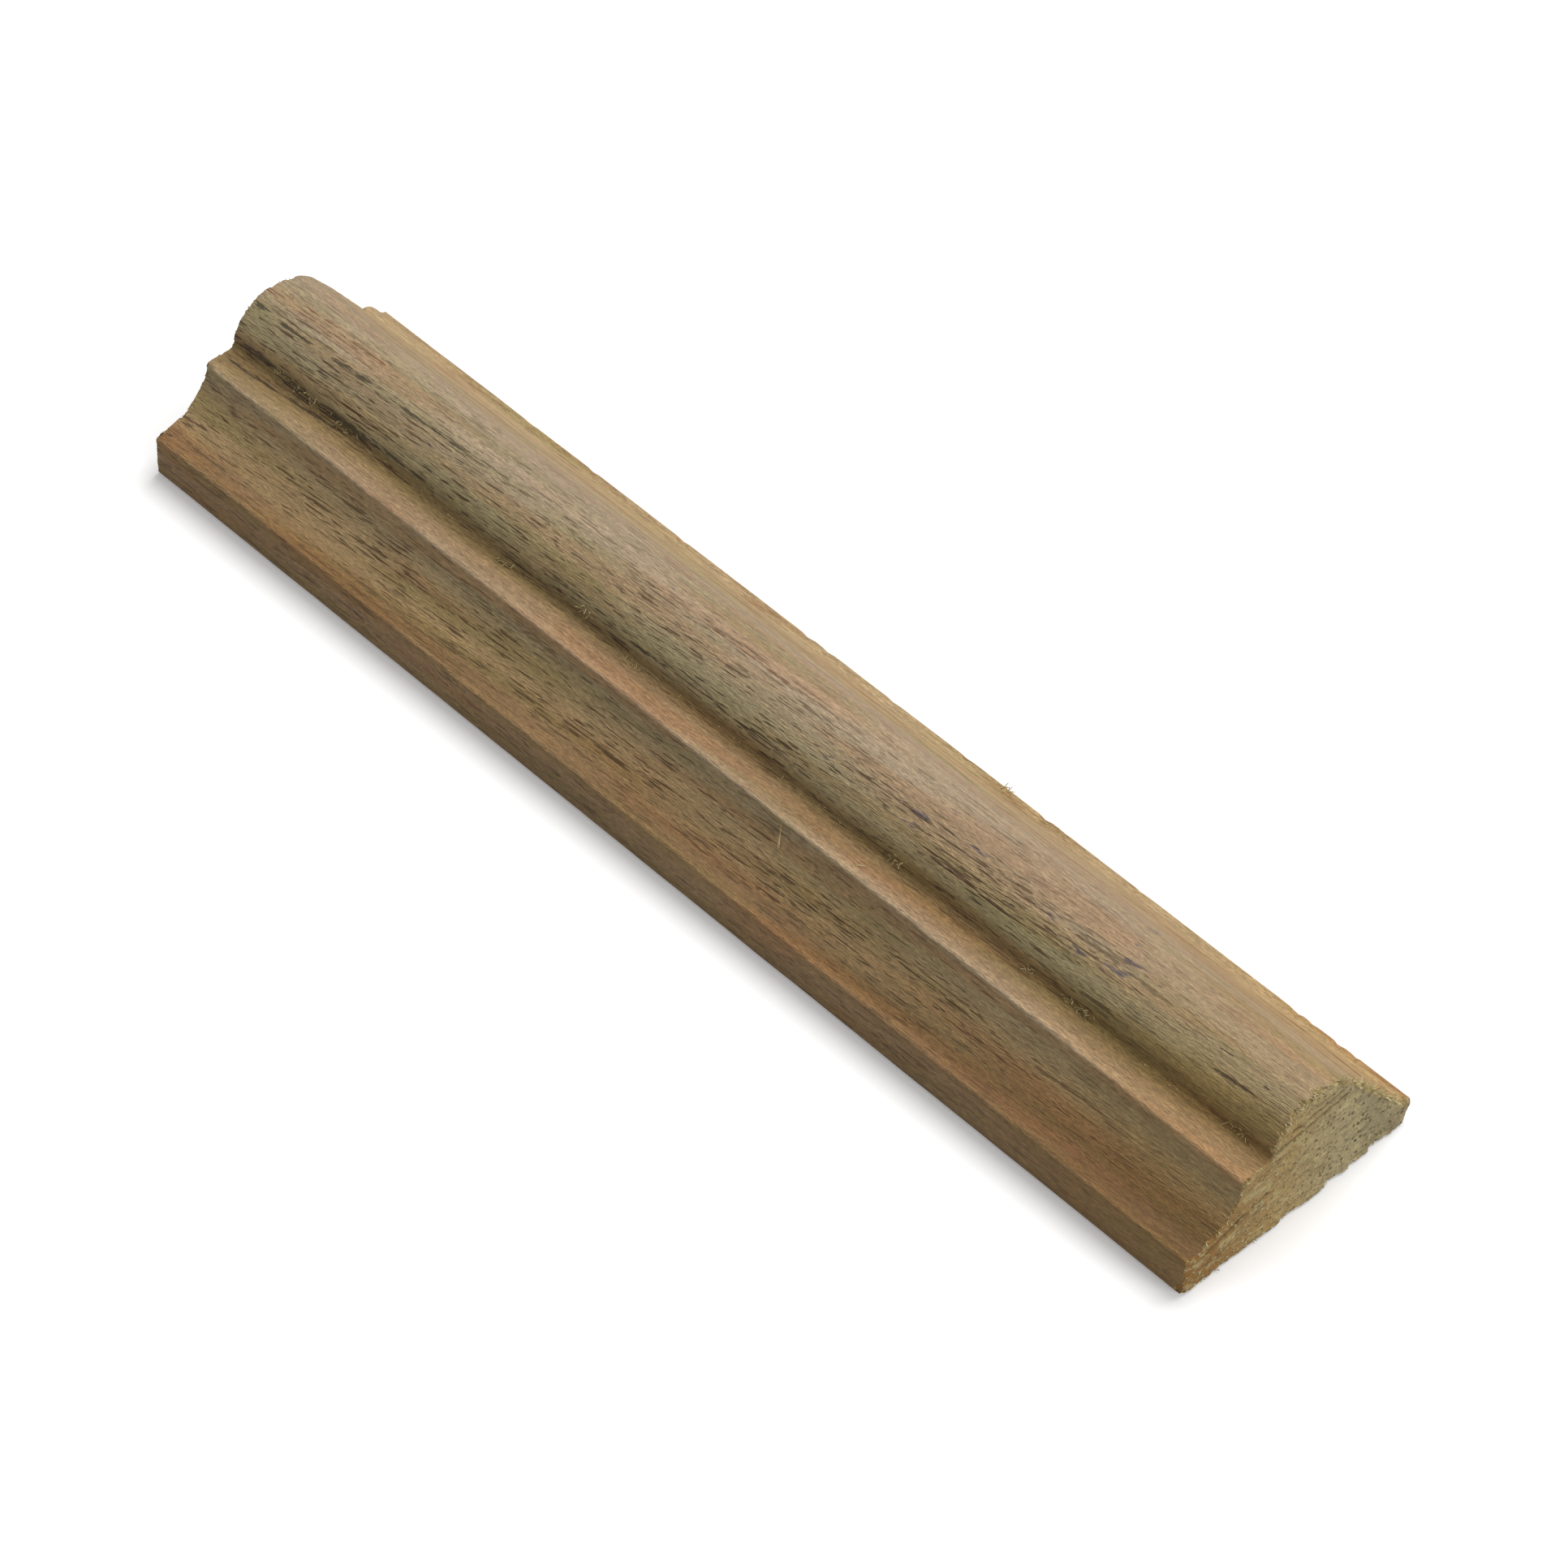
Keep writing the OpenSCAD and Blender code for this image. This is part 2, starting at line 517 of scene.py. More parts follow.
@dataclass(frozen=True)
class SawLine:
    """A saw line that runs deeper and darker than the rest.

    Attributes:
        start: One end of the line, as u and v in the section.
        end: Its other end.
        width: Full width.
        depth: How deep it goes.
    """

    start: tuple[float, float]
    end: tuple[float, float]
    width: float
    depth: float

    def cover(self, spots: np.ndarray) -> np.ndarray:
        """Say how much of the line lies on each spot, from 0 to 1."""
        start, end = np.array(self.start), np.array(self.end)
        span = end - start
        share = np.clip(((spots - start) @ span) / (span @ span), 0, 1)
        gap = np.linalg.norm(spots - start - share[:, None] * span, axis=1)
        return 1 - smooth(0.15, 0.5, gap / self.width)


@dataclass(frozen=True)
class SawnEnd:
    """How one sawn end departs from its plane.

    Attributes:
        plane: Where the saw cut, along the length.
        ease: Depth of the furred edge all the way round.
        wear: Stretches where the edge goes back further.
        jags: Stretches of splintered edge, each from, to and depth.
        lines: Deep saw lines.
        seed: Seed of the splinters.
        swell: Outward swell of the bottom edge, as u and distance.
        reach: How far the end's shape reaches into the length.
        swell_height: How far the swell reaches up the end.
        jag_spacing: Distance between one splinter and the next.
        jag_start: Level of the random numbers at which a splinter starts.
        jag_fade: Distance over which a stretch of splinters comes and goes.
    """

    plane: float
    ease: float
    wear: tuple[Wear, ...]
    jags: tuple[tuple[float, float, float], ...]
    lines: tuple[SawLine, ...]
    seed: int
    swell: tuple[tuple[float, float], ...] = ((0.0, 0.0),)
    reach: float = 6.0
    swell_height: float = 2.6
    jag_spacing: float = 0.62
    jag_start: float = 0.35
    jag_fade: float = 0.8

    def move(self, spots: np.ndarray, across: np.ndarray, gap: np.ndarray, around: float) -> np.ndarray:
        """Give how far outside of the plane each spot ends up.

        Args:
            spots: Places in the section, as u and v.
            across: Distance across of the nearest point of the outline.
            gap: Distance to that point.
            around: Length of the whole outline.

        Returns:
            Distance for each spot, positive outwards.
        """
        depth = np.full(len(across), self.ease)
        for wear in self.wear:
            away = np.abs(across - wear.across)
            away = np.minimum(away, around - away)
            depth = np.maximum(depth, wear.depth * (1 - smooth(0.0, wear.spread, away)))
        soft = self.jag_fade
        for low, high, most in self.jags:
            begun = smooth(low - soft, low + soft, across)
            within = begun * (1 - smooth(high - soft, high + soft, across))
            teeth = smooth(self.jag_start, 0.95, ripple(across, self.jag_spacing, self.seed))
            depth = depth + within * most * teeth
        share = np.clip(1 - gap / depth, 0, 1)
        out = -depth * (1 - np.sqrt(1 - share ** 2))
        places, heights = np.array(self.swell).T
        fade = np.exp(-(spots[:, 1] / self.swell_height) ** 2)
        lift = np.interp(spots[:, 0], places, heights) * fade
        for line in self.lines:
            out = out - line.depth * line.cover(spots)
        return out + lift


NEAR_END = SawnEnd(
    plane=100.9, ease=0.2,
    wear=(Wear(0.0, 3.2, 1.5), Wear(71.6, 3.0, 1.1), Wear(68.2, 1.4, 0.5), Wear(7.3, 1.0, 0.4)),
    jags=((8.0, 26.0, 0.35), (27.0, 34.0, 0.9), (34.0, 47.0, 1.3), (47.0, 67.0, 0.8)),
    swell=((7.8, 0.0), (10.6, 0.1), (15.5, 0.35), (18.7, 0.55), (19.3, 0.15), (22.6, 0.4), (24.4, 0.65),
           (27.3, 0.6), (28.0, -0.05), (31.9, 0.6), (32.6, 0.25), (36.1, 0.4), (36.7, -0.1), (41.0, 0.3),
           (43.3, 0.3), (44.3, -0.2)),
    lines=(SawLine((15.8, 16.3), (29.6, 17.4), 1.0, 0.4), SawLine((18.4, 18.3), (28.6, 18.9), 0.7, 0.25),
           SawLine((2.8, 5.4), (9.9, 7.6), 0.9, 0.25), SawLine((9.5, 7.5), (15.4, 8.5), 0.9, 0.3)),
    seed=11)
FAR_END = SawnEnd(
    plane=101.6, ease=0.15,
    wear=(Wear(0.0, 3.4, 1.1), Wear(2.5, 6.0, 0.65), Wear(5.5, 2.5, 0.75), Wear(6.9, 1.8, 1.2),
          Wear(20.2, 1.4, 0.5), Wear(31.5, 6.0, 0.3), Wear(53.0, 1.6, 1.9), Wear(61.0, 1.4, 1.3),
          Wear(69.0, 1.8, 0.5)),
    jags=((7.5, 21.5, 0.5), (21.5, 26.5, 0.3), (26.5, 44.0, 0.5), (44.0, 66.0, 0.25)),
    lines=(SawLine((8.0, 9.0), (36.0, 9.8), 0.8, 0.3), SawLine((18.0, 17.0), (28.0, 17.4), 0.8, 0.3)),
    seed=23, jag_spacing=0.8, jag_start=0.5)


@dataclass(frozen=True)
class Band:
    """A stop of what changes across the outline.

    Attributes:
        across: Distance across.
        colour: Colour of clean wood there, as sRGB hex; a few stops also carry a painted highlight and
            painted shade.
        pores: How many of the pores lie open there, from 0 to 1.
        brown: How much the near end turns browner there, from 0 to 1.
        nap: How much raised nap the cutter left there, from 0 to 1.
        torn: How much of the wood is torn up there, from 0 to 1.
    """

    across: float
    colour: str
    pores: float
    brown: float = 0.0
    nap: float = 0.3
    torn: float = 0.0


@dataclass(frozen=True)
class Streaks:
    """A noise drawn out along the fibres.

    Attributes:
        length: Length of a streak.
        width: Its width.
        detail: Octaves of finer streaks inside it.
        roughness: How strong those are.
        offset: Where in the noise it starts, so that no two look the same.
    """

    length: float
    width: float
    detail: float = 1.0
    roughness: float = 0.5
    offset: tuple[float, float, float] = (0.0, 0.0, 0.0)

    def lay(self, tree: NodeTree, place: Feed) -> Node:
        """Add the streaks to a material, at a place in the wood in millimetres.

        Args:
            tree: Material tree that takes the nodes.
            place: Place in the wood.

        Returns:
            The noise node.
        """
        add = partial(add_node, tree)
        cells = add("ShaderNodeVectorMath", TIMES_PLUS, in0=place,
                    in1=(1 / self.length, 1 / self.width, 1 / self.width), in2=self.offset)
        return add("ShaderNodeTexNoise", Vector=cells, Scale=1.0, Detail=self.detail,
                   Roughness=self.roughness)


@dataclass(frozen=True)
class Grain:
    """Long streaks that lighten and darken the wood.

    Attributes:
        streaks: Their size.
        contrast: How far they lighten or darken it, as a share.
    """

    streaks: Streaks
    contrast: float


@dataclass(frozen=True)
class Pores:
    """Vessels that the cutter laid open, which show as short dark dashes.

    Attributes:
        dashes: Size of a dash with the gap beside it.
        level: How rare the dashes are, from 0.5 for half of the wood to 1.
        edge: How soft their edges are.
        depth: How dark they are, from 0 to 1.
    """

    dashes: Streaks
    level: float
    edge: float
    depth: float


@dataclass(frozen=True)
class MarkLook:
    """How one kind of mark shows on the wood.

    Attributes:
        colour: Its colour, as sRGB hex.
        body: How far the mark lifts the strands of the wood.
        low: Lifted strand at which it starts to show.
        high: Lifted strand at which it shows fully.
        most: Its share of the colour where it is strongest.
        is_open: Whether the wood is open there, so that the bump sinks.
    """

    colour: str
    body: float
    low: float
    high: float
    most: float
    is_open: bool


def new_material(name: str) -> tuple[Material, NodeTree]:
    """Make an empty material and give its tree."""
    material = bpy.data.materials.new(name)
    material.use_nodes = True
    material.node_tree.nodes.clear()
    return material, material.node_tree


@dataclass(frozen=True)
class RunFinish:
    """Raw machined open-pored hardwood, off the cutter and never sealed.

    Gives the eye dull long fibres that drift off the axis, short dark open
    pores, a fine slanting nap, and slow bands of pink, olive and orange wood.
    """

    name: str = "machined_raw_hardwood"
    bands: tuple[Band, ...] = (
        # The front face darkens over its bottom 1.5 mm: painted shade along the bottom edge
        Band(0.0, "#9a7e58", 0.4, 0.2),
        Band(1.5, "#a58962", 0.6, 0.2),
        Band(4.0, "#af8f69", 0.8, 0.2),
        Band(5.8, "#ae8e64", 0.7, 0.2),
        Band(6.9, "#a2825a", 0.3, 0.3, 0.3, 0.25),
        Band(7.6, "#90714b", 0.4, 0.5, 0.3, 0.3),
        Band(9.4, "#8f724d", 0.5, 0.65, 0.3, 0.3),
        Band(11.0, "#a2885f", 0.8, 1.0, 0.3, 0.3),
        Band(13.0, "#b1966c", 0.9, 0.95, 0.3, 0.35),
        Band(15.5, "#b69c72", 0.9, 0.4, 0.3, 0.2),
        Band(18.0, "#b39f79", 0.7, 0.1),
        Band(20.5, "#bba480", 0.5),
        # A thin pale stop on the crest's arris is a painted highlight
        Band(20.8, "#e2caa6", 0.1),
        Band(21.1, "#b99d7b", 0.1, 0.0, 0.4, 0.2),
        # Across the fillet into the quirk the colour darkens, partly the wood's own browner tone and
        # partly painted shade under the bead
        Band(22.6, "#a58966", 0.15, 0.0, 0.9, 0.35),
        Band(24.2, "#9b7f5a", 0.2, 0.0, 0.8, 0.3),
        Band(25.6, "#8e744c", 0.6, 0.0, 0.7, 0.1),
        Band(27.0, "#947f56", 1.0, 0.0, 0.6),
        Band(28.6, "#a5936c", 1.0),
        Band(30.4, "#a6966f", 1.0),
        Band(34.0, "#a19071", 0.9),
        Band(38.0, "#a99478", 0.5, 0.0, 0.5),
        Band(44.0, "#a99477", 0.35, 0.0, 0.6, 0.15),
        Band(47.5, "#ab9375", 0.35, 0.1, 0.5, 0.7),
        Band(57.0, "#b39971", 0.2, 0.1, 0.5, 1.0),
        Band(64.0, "#bba076", 0.2, 0.1, 0.5, 1.0),
        Band(67.4, "#b89e76", 0.3, 0.1, 0.4, 0.9),
        Band(71.0, "#a98d68", 0.5, 0.0, 0.3, 0.2),
        Band(73.0, "#a48a66", 0.8),
        Band(116.0, "#a48a66", 0.8),
    )
    # Slopes at which the fibres drift off the axis and lean into the wood, and
    # how far they sway either side of that
    drift: float = 0.045
    lean: float = 0.02
    wander: float = 0.5
    sway: Streaks = Streaks(50.0, 9.0)
    grains: tuple[Grain, ...] = (
        Grain(Streaks(0.9, 0.14, 1.5, 0.55), 0.26),
        Grain(Streaks(5.0, 0.34, 2.0, 0.55), 0.13),
        Grain(Streaks(16.0, 0.7, 2.0, 0.55), 0.1),
        Grain(Streaks(55.0, 2.4, 1.0, 0.55), 0.11),
    )
    # Raised nap: the turn of its short fibres in radians, their length and
    # width, and how far they lighten or darken the wood
    nap_turn: tuple[float, float, float] = (0.0, 0.35, 0.4)
    nap_length: float = 1.3
    nap_width: float = 0.24
    nap_contrast: float = 0.3
    pores: tuple[Pores, ...] = (
        Pores(Streaks(8.0, 0.4, 1.0, 0.4, (0.0, 5.0, 9.0)), 0.69, 0.014, 1.0),
        Pores(Streaks(5.5, 0.3, 1.0, 0.4, (17.0, 5.0, 9.0)), 0.68, 0.016, 0.95),
        Pores(Streaks(3.2, 0.26, 1.0, 0.4, (34.0, 5.0, 9.0)), 0.675, 0.02, 0.8),
    )
    # Where the pores gather, and how far that lifts them toward showing
    crowd: Streaks = Streaks(24.0, 2.6)
    crowd_lift: float = 0.03
    # The pores close between these places along the length, to this share
    closing: tuple[float, float] = (50.0, 90.0)
    closed: float = 0.4
    # What the wood around a pore is multiplied by inside it
    pore: str = "#82705e"
    torn: str = "#8d5f33"
    torn_patches: Streaks = Streaks(18.0, 2.6, 4.0, 0.7)
    torn_most: float = 0.55
    # What the near end is multiplied by where it turns browner
    brown: str = "#bdb4a7"
    browning: tuple[float, float] = (-95.0, 95.0)
    # What the last stretch before the near end is multiplied by
    warm: str = "#fff9ea"
    warming: tuple[float, float] = (55.0, 90.0)
    # Slow zones of pinker and greener wood: colour, size, and the noise at
    # which a zone starts and is full
    zones: tuple[tuple[str, Streaks, float, float], ...] = (
        ("#fff1e8", Streaks(45.0, 4.0, 2.0), 0.47, 0.66),
        ("#eff3e4", Streaks(45.0, 4.0, 2.0, 0.5, (40.0, 40.0, 40.0)), 0.48, 0.68),
    )
    # Strands that break the marks up
    crumbs: Streaks = Streaks(2.2, 0.32, 2.5, 0.65)
    marks: dict[Paint, MarkLook] = field(default_factory=lambda: {
        Paint.DARK_PORE: MarkLook("#372e1e", 0.5, 0.84, 0.96, 0.8, True),
        Paint.RED_STREAK: MarkLook("#744527", 0.45, 0.81, 0.93, 0.8, False),
        Paint.TORN: MarkLook("#7d5730", 0.36, 0.72, 0.9, 0.6, True),
        Paint.BLUE_STAIN: MarkLook("#554f59", 0.4, 0.78, 0.96, 0.85, False),
    })
    roughness: float = 0.78
    # Depth of the open pores and the raised fibres in the bump
    relief: float = 0.2

    def space(self, tree: NodeTree) -> Feed:
        """Add nodes that give the place in the wood, in millimetres, X along the fibres."""
        add = partial(add_node, tree)
        place = add("ShaderNodeTexCoord").outputs["Object"]
        turned = add("ShaderNodeMapping", Vector=place, Scale=(1 / MM, 1 / MM, 1 / MM),
                     Rotation=(0.0, math.atan(self.lean), -math.atan(self.drift)))
        sway = self.sway.lay(tree, turned).outputs["Color"]
        return add("ShaderNodeVectorMath", TIMES_PLUS, in0=sway,
                   in1=(0.0, 2 * self.wander, 2 * self.wander), in2=turned)

    def layers(self, tree: NodeTree, place: Feed, nap: Feed) -> Feed:
        """Add the streaks of every grain and the slanting nap.

        Args:
            tree: Material tree that takes the nodes.
            place: Place in the wood.
            nap: How much nap there is, from 0 to 1.

        Returns:
            How light the wood is, about 1.
        """
        add = partial(add_node, tree)
        slanted = add("ShaderNodeMapping", Vector=place, Rotation=self.nap_turn,
                      Scale=(1 / self.nap_length, 1 / self.nap_width, 1 / self.nap_width))
        fluff = add("ShaderNodeTexNoise", Vector=slanted, Scale=1.0, Detail=2.5, Roughness=0.6)
        swing = add("ShaderNodeMapRange", UNCLAMPED, Value=fluff, From_Min=0.3, From_Max=0.7,
                    To_Min=-self.nap_contrast, To_Max=self.nap_contrast)
        total = add("ShaderNodeMath", TIMES_PLUS, in0=swing, in1=nap, in2=1.0)
        for grain in self.grains:
            level = add("ShaderNodeMapRange", UNCLAMPED, Value=grain.streaks.lay(tree, place),
                        From_Min=0.3, From_Max=0.7, To_Min=1 - grain.contrast, To_Max=1 + grain.contrast)
            total = add("ShaderNodeMath", TIMES, in0=total, in1=level)
        return total

    def open_pores(self, tree: NodeTree, place: Feed) -> Feed:
        """Add the dashes of every kind of pore and give how open the wood is, 0 to 1."""
        add = partial(add_node, tree)
        lift = add("ShaderNodeMapRange", UNCLAMPED, Value=self.crowd.lay(tree, place), From_Min=0.3,
                   From_Max=0.7, To_Min=-self.crowd_lift, To_Max=self.crowd_lift)
        total = 0.0
        for pores in self.pores:
            lifted = add("ShaderNodeMath", PLUS, in0=pores.dashes.lay(tree, place), in1=lift)
            dash = add("ShaderNodeMapRange", EASED, Value=lifted, From_Min=pores.level - pores.edge,
                       From_Max=pores.level + pores.edge, To_Max=pores.depth)
            total = add("ShaderNodeMath", LARGER, in0=total, in1=dash)
        return total

    def ramps(self, tree: NodeTree, across: Feed) -> dict[str, NodeSocket]:
        """Add the two ramps of what changes across the outline.

        Args:
            tree: Material tree that takes the nodes.
            across: Distance across.

        Returns:
            Sockets of the colour and of each trait, by name.
        """
        add = partial(add_node, tree)
        span = self.bands[-1].across
        share = add("ShaderNodeMath", DIVIDED, in0=across, in1=span)
        clean = add("ShaderNodeValToRGB", in0=share)
        traits = add("ShaderNodeValToRGB", in0=share)
        for ramp in (clean.color_ramp, traits.color_ramp):
            while len(ramp.elements) < len(self.bands):
                ramp.elements.new(1.0)
            for stop, band in zip(ramp.elements, self.bands):
                stop.position = band.across / span
        for stop, band in zip(clean.color_ramp.elements, self.bands):
            stop.color = linear(band.colour)
        for stop, band in zip(traits.color_ramp.elements, self.bands):
            stop.color = (band.pores, band.brown, band.nap, band.torn)
        parts = add("ShaderNodeSeparateColor", Color=traits.outputs["Color"])
        return {"colour": clean.outputs["Color"], "pores": parts.outputs[0], "brown": parts.outputs[1],
                "nap": parts.outputs[2], "torn": traits.outputs["Alpha"]}

    def tint(self, tree: NodeTree, place: Feed, along: Feed, traits: dict[str, NodeSocket]) -> Feed:
        """Add the slow changes of colour along the length.

        Args:
            tree: Material tree that takes the nodes.
            place: Place in the wood.
            along: Its place along the length.
            traits: Sockets of the ramps.

        Returns:
            The tinted colour.
        """
        add = partial(add_node, tree)
        low, high = self.browning
        nearing = add("ShaderNodeMapRange", Value=along, From_Min=low, From_Max=high)
        share = add("ShaderNodeMath", TIMES, in0=nearing, in1=traits["brown"])
        colour = add("ShaderNodeMix", TINTED, Factor=share, A=traits["colour"], B=linear(self.brown))
        low, high = self.warming
        warmed = add("ShaderNodeMapRange", EASED, Value=along, From_Min=low, From_Max=high)
        colour = add("ShaderNodeMix", TINTED, Factor=warmed, A=colour, B=linear(self.warm))
        for code, streaks, low, high in self.zones:
            much = add("ShaderNodeMapRange", EASED, Value=streaks.lay(tree, place), From_Min=low,
                       From_Max=high)
            colour = add("ShaderNodeMix", TINTED, Factor=much, A=colour, B=linear(code))
        return colour

    def build(self) -> Material:
        """Build the material of the moulded face and the back."""
        material, tree = new_material(self.name)
        add = partial(add_node, tree)
        place = self.space(tree)
        along = add("ShaderNodeSeparateXYZ", Vector=place)
        across = add("ShaderNodeAttribute", {"attribute_name": "across"}).outputs["Fac"]
        traits = self.ramps(tree, across)
        level = self.layers(tree, place, traits["nap"])
        tinted = self.tint(tree, place, along, traits)
        colour = add("ShaderNodeVectorMath", SCALED, in0=tinted, Scale=level)

        # Patches where the cutter tore the grain up
        ripped = add("ShaderNodeMapRange", EASED, Value=self.torn_patches.lay(tree, place),
                     From_Min=0.48, From_Max=0.68, To_Max=self.torn_most)
        ripped = add("ShaderNodeMath", TIMES, in0=ripped, in1=traits["torn"])
        colour = add("ShaderNodeMix", BLENDED, Factor=ripped, A=colour, B=linear(self.torn))

        # Open pores, fewer of them toward the near end
        low, high = self.closing
        closing = add("ShaderNodeMapRange", Value=along, From_Min=low, From_Max=high, To_Min=1.0,
                      To_Max=self.closed)
        dashes = add("ShaderNodeMath", TIMES, in0=self.open_pores(tree, place), in1=closing)
        pores = add("ShaderNodeMath", TIMES, in0=dashes, in1=traits["pores"])

        # Listed marks, broken up by the strands of the wood
        crumb = self.crumbs.lay(tree, place)
        open_wood = pores
        for kind, look in self.marks.items():
            given = add("ShaderNodeAttribute", {"attribute_name": kind.value}).outputs["Fac"]
            lifted = add("ShaderNodeMath", TIMES_PLUS, in0=given, in1=look.body, in2=crumb)
            sharp = add("ShaderNodeMapRange", EASED, Value=lifted, From_Min=look.low, From_Max=look.high,
                        To_Max=look.most)
            colour = add("ShaderNodeMix", BLENDED, Factor=sharp, A=colour, B=linear(look.colour))
            if look.is_open:
                open_wood = add("ShaderNodeMath", LARGER, in0=open_wood, in1=sharp)
        colour = add("ShaderNodeMix", TINTED, Factor=pores, A=colour, B=linear(self.pore))
        sunk = add("ShaderNodeMath", TIMES_PLUS, in0=open_wood, in1=-1.0, in2=level)
        bump = add("ShaderNodeBump", Strength=1.0, Distance=self.relief * MM, Height=sunk)
        shader = add("ShaderNodeBsdfPrincipled", Base_Color=colour, Roughness=self.roughness, IOR=1.45,
                     Normal=bump)
        add("ShaderNodeOutputMaterial", Surface=shader)
        return material


@dataclass(frozen=True)
class Fleck:
    """A noise that colours and lifts the sawn wood where it is strong.

    Attributes:
        size: Size of a fleck along X, Y and Z.
        colour: Its colour, as sRGB hex.
        low: Noise at which it starts to show.
        high: Noise at which it shows fully.
        most: Its share of the colour there.
        lift: How far it stands out in the bump; a hollow has a negative lift.
    """

    size: tuple[float, float, float]
    colour: str
    low: float
    high: float
    most: float
    lift: float


@dataclass(frozen=True)
class EndFinish:
    """The same wood sawn across the grain with a coarse hand saw.

    Gives the eye a furry, khaki face with level saw lines and pore dots.
    """

    name: str = "sawn_end_grain"
    # Colours from the front to the back of the end, each with its share of the width
    stops: tuple[tuple[float, str], ...] = (
        (0.1, "#89622d"), (0.42, "#a68c5b"), (0.67, "#a49671"), (0.87, "#8f8162"))
    dark: str = "#5c482b"
    pale: str = "#c4b583"
    # Level saw lines, furred tufts and finer pale and dark flecks
    flecks: tuple[Fleck, ...] = (
        Fleck((2.0, 3.5, 0.9), dark, 0.5, 0.7, 0.4, -0.6),
        Fleck((2.0, 3.0, 1.4), pale, 0.5, 0.68, 0.5, 0.5),
        Fleck((0.8, 0.75, 0.45), pale, 0.52, 0.66, 0.7, 0.8),
        Fleck((1.0, 0.8, 0.5), dark, 0.56, 0.72, 0.5, -0.6),
    )
    # Size of a pore dot with the wood around it. Real ones lie closer together,
    # too fine to show
    dot_cell: tuple[float, float, float] = (6.0, 1.0, 0.9)
    # How dark the deep saw lines are
    groove: float = 0.75
    roughness: float = 0.9
    relief: float = 0.3

    def build(self, width: float) -> Material:
        """Build the material of the two sawn ends.

        Args:
            width: Width of the section.

        Returns:
            The material.
        """
        material, tree = new_material(self.name)
        add = partial(add_node, tree)
        place = add("ShaderNodeTexCoord").outputs["Object"]
        spot = add("ShaderNodeVectorMath", SCALED, in0=place, Scale=1 / MM)
        xyz = add("ShaderNodeSeparateXYZ", Vector=spot)
        from_front = add("ShaderNodeMapRange", Value=xyz.outputs["Y"], From_Min=-width / 2,
                         From_Max=width / 2)
        base = add("ShaderNodeValToRGB", in0=from_front)
        while len(base.color_ramp.elements) < len(self.stops):
            base.color_ramp.elements.new(1.0)
        for stop, (where, code) in zip(base.color_ramp.elements, self.stops):
            stop.position = where
            stop.color = linear(code)
        colour = base
        height = 0.0
        for fleck in self.flecks:
            cells = add("ShaderNodeVectorMath", DIVIDED, in0=spot, in1=fleck.size)
            noise = add("ShaderNodeTexNoise", Vector=cells, Scale=1.0, Detail=2.0)
            much = add("ShaderNodeMapRange", EASED, Value=noise, From_Min=fleck.low, From_Max=fleck.high,
                       To_Max=fleck.most)
            colour = add("ShaderNodeMix", BLENDED, Factor=much, A=colour, B=linear(fleck.colour))
            height = add("ShaderNodeMath", TIMES_PLUS, in0=much, in1=fleck.lift, in2=height)

        # Pore dots, which lie open toward the back, and the deep saw lines
        cells = add("ShaderNodeVectorMath", DIVIDED, in0=spot, in1=self.dot_cell)
        nearest = add("ShaderNodeTexVoronoi", Vector=cells, Scale=1.0)
        opening = add("ShaderNodeMapRange", Value=from_front, From_Min=0.2, From_Max=0.7, To_Min=0.25,
                      To_Max=0.8)
        dot = add("ShaderNodeMapRange", EASED, Value=nearest.outputs["Distance"], From_Min=0.14,
                  From_Max=0.3, To_Min=1.0, To_Max=0.0)
        dot = add("ShaderNodeMath", TIMES, in0=dot, in1=opening)
        line = add("ShaderNodeAttribute", {"attribute_name": "saw_line"}).outputs["Fac"]
        shade = add("ShaderNodeMath", TIMES, in0=line, in1=self.groove)
        shade = add("ShaderNodeMath", LARGER, in0=shade, in1=dot)
        colour = add("ShaderNodeMix", BLENDED, Factor=shade, A=colour, B=linear(self.dark))
        height = add("ShaderNodeMath", {"operation": "SUBTRACT"}, in0=height, in1=dot)
        bump = add("ShaderNodeBump", Strength=1.0, Distance=self.relief * MM, Height=height)
        shader = add("ShaderNodeBsdfPrincipled", Base_Color=colour, Roughness=self.roughness, IOR=1.45,
                     Normal=bump)
        add("ShaderNodeOutputMaterial", Surface=shader)
        return material


@dataclass(frozen=True)
class FibreFinish:
    """Loose torn fibre of the same wood, which gives the eye pale dull hairs."""

    name: str = "torn_wood_fibre"
    pale: str = "#d0c294"
    dull: str = "#a8925e"
    # Changes of colour in a millimetre
    pace: float = 0.7
    roughness: float = 0.9

    def build(self) -> Material:
        """Build the material of the loose fibres."""
        material, tree = new_material(self.name)
        add = partial(add_node, tree)
        place = add("ShaderNodeTexCoord").outputs["Object"]
        spot = add("ShaderNodeVectorMath", SCALED, in0=place, Scale=self.pace / MM)
        noise = add("ShaderNodeTexNoise", Vector=spot, Scale=1.0, Detail=1.0)
        share = add("ShaderNodeMapRange", Value=noise, From_Min=0.35, From_Max=0.65)
        colour = add("ShaderNodeMix", BLENDED, Factor=share, A=linear(self.dull), B=linear(self.pale))
        shader = add("ShaderNodeBsdfPrincipled", Base_Color=colour, Roughness=self.roughness, IOR=1.45)
        add("ShaderNodeOutputMaterial", Surface=shader)
        return material


def add_object(name: str, data: bpy.types.ID) -> Object:
    """Make an object of a mesh, lamp or camera and link it into the scene."""
    made = bpy.data.objects.new(name, data)
    bpy.context.scene.collection.objects.link(made)
    return made


def plain_mesh(name: str, points: np.ndarray, faces: Sequence[Sequence[int]]) -> Object:
    """Make an object from points in millimetres.

    Args:
        name: Name of the object and its mesh.
        points: Places of the vertices.
        faces: Vertex numbers of each face.

    Returns:
        The object, linked into the scene.
    """
    mesh = bpy.data.meshes.new(name)
    mesh.from_pydata((points * MM).tolist(), [], [list(f) for f in faces])
    mesh.update()
    return add_object(name, mesh)


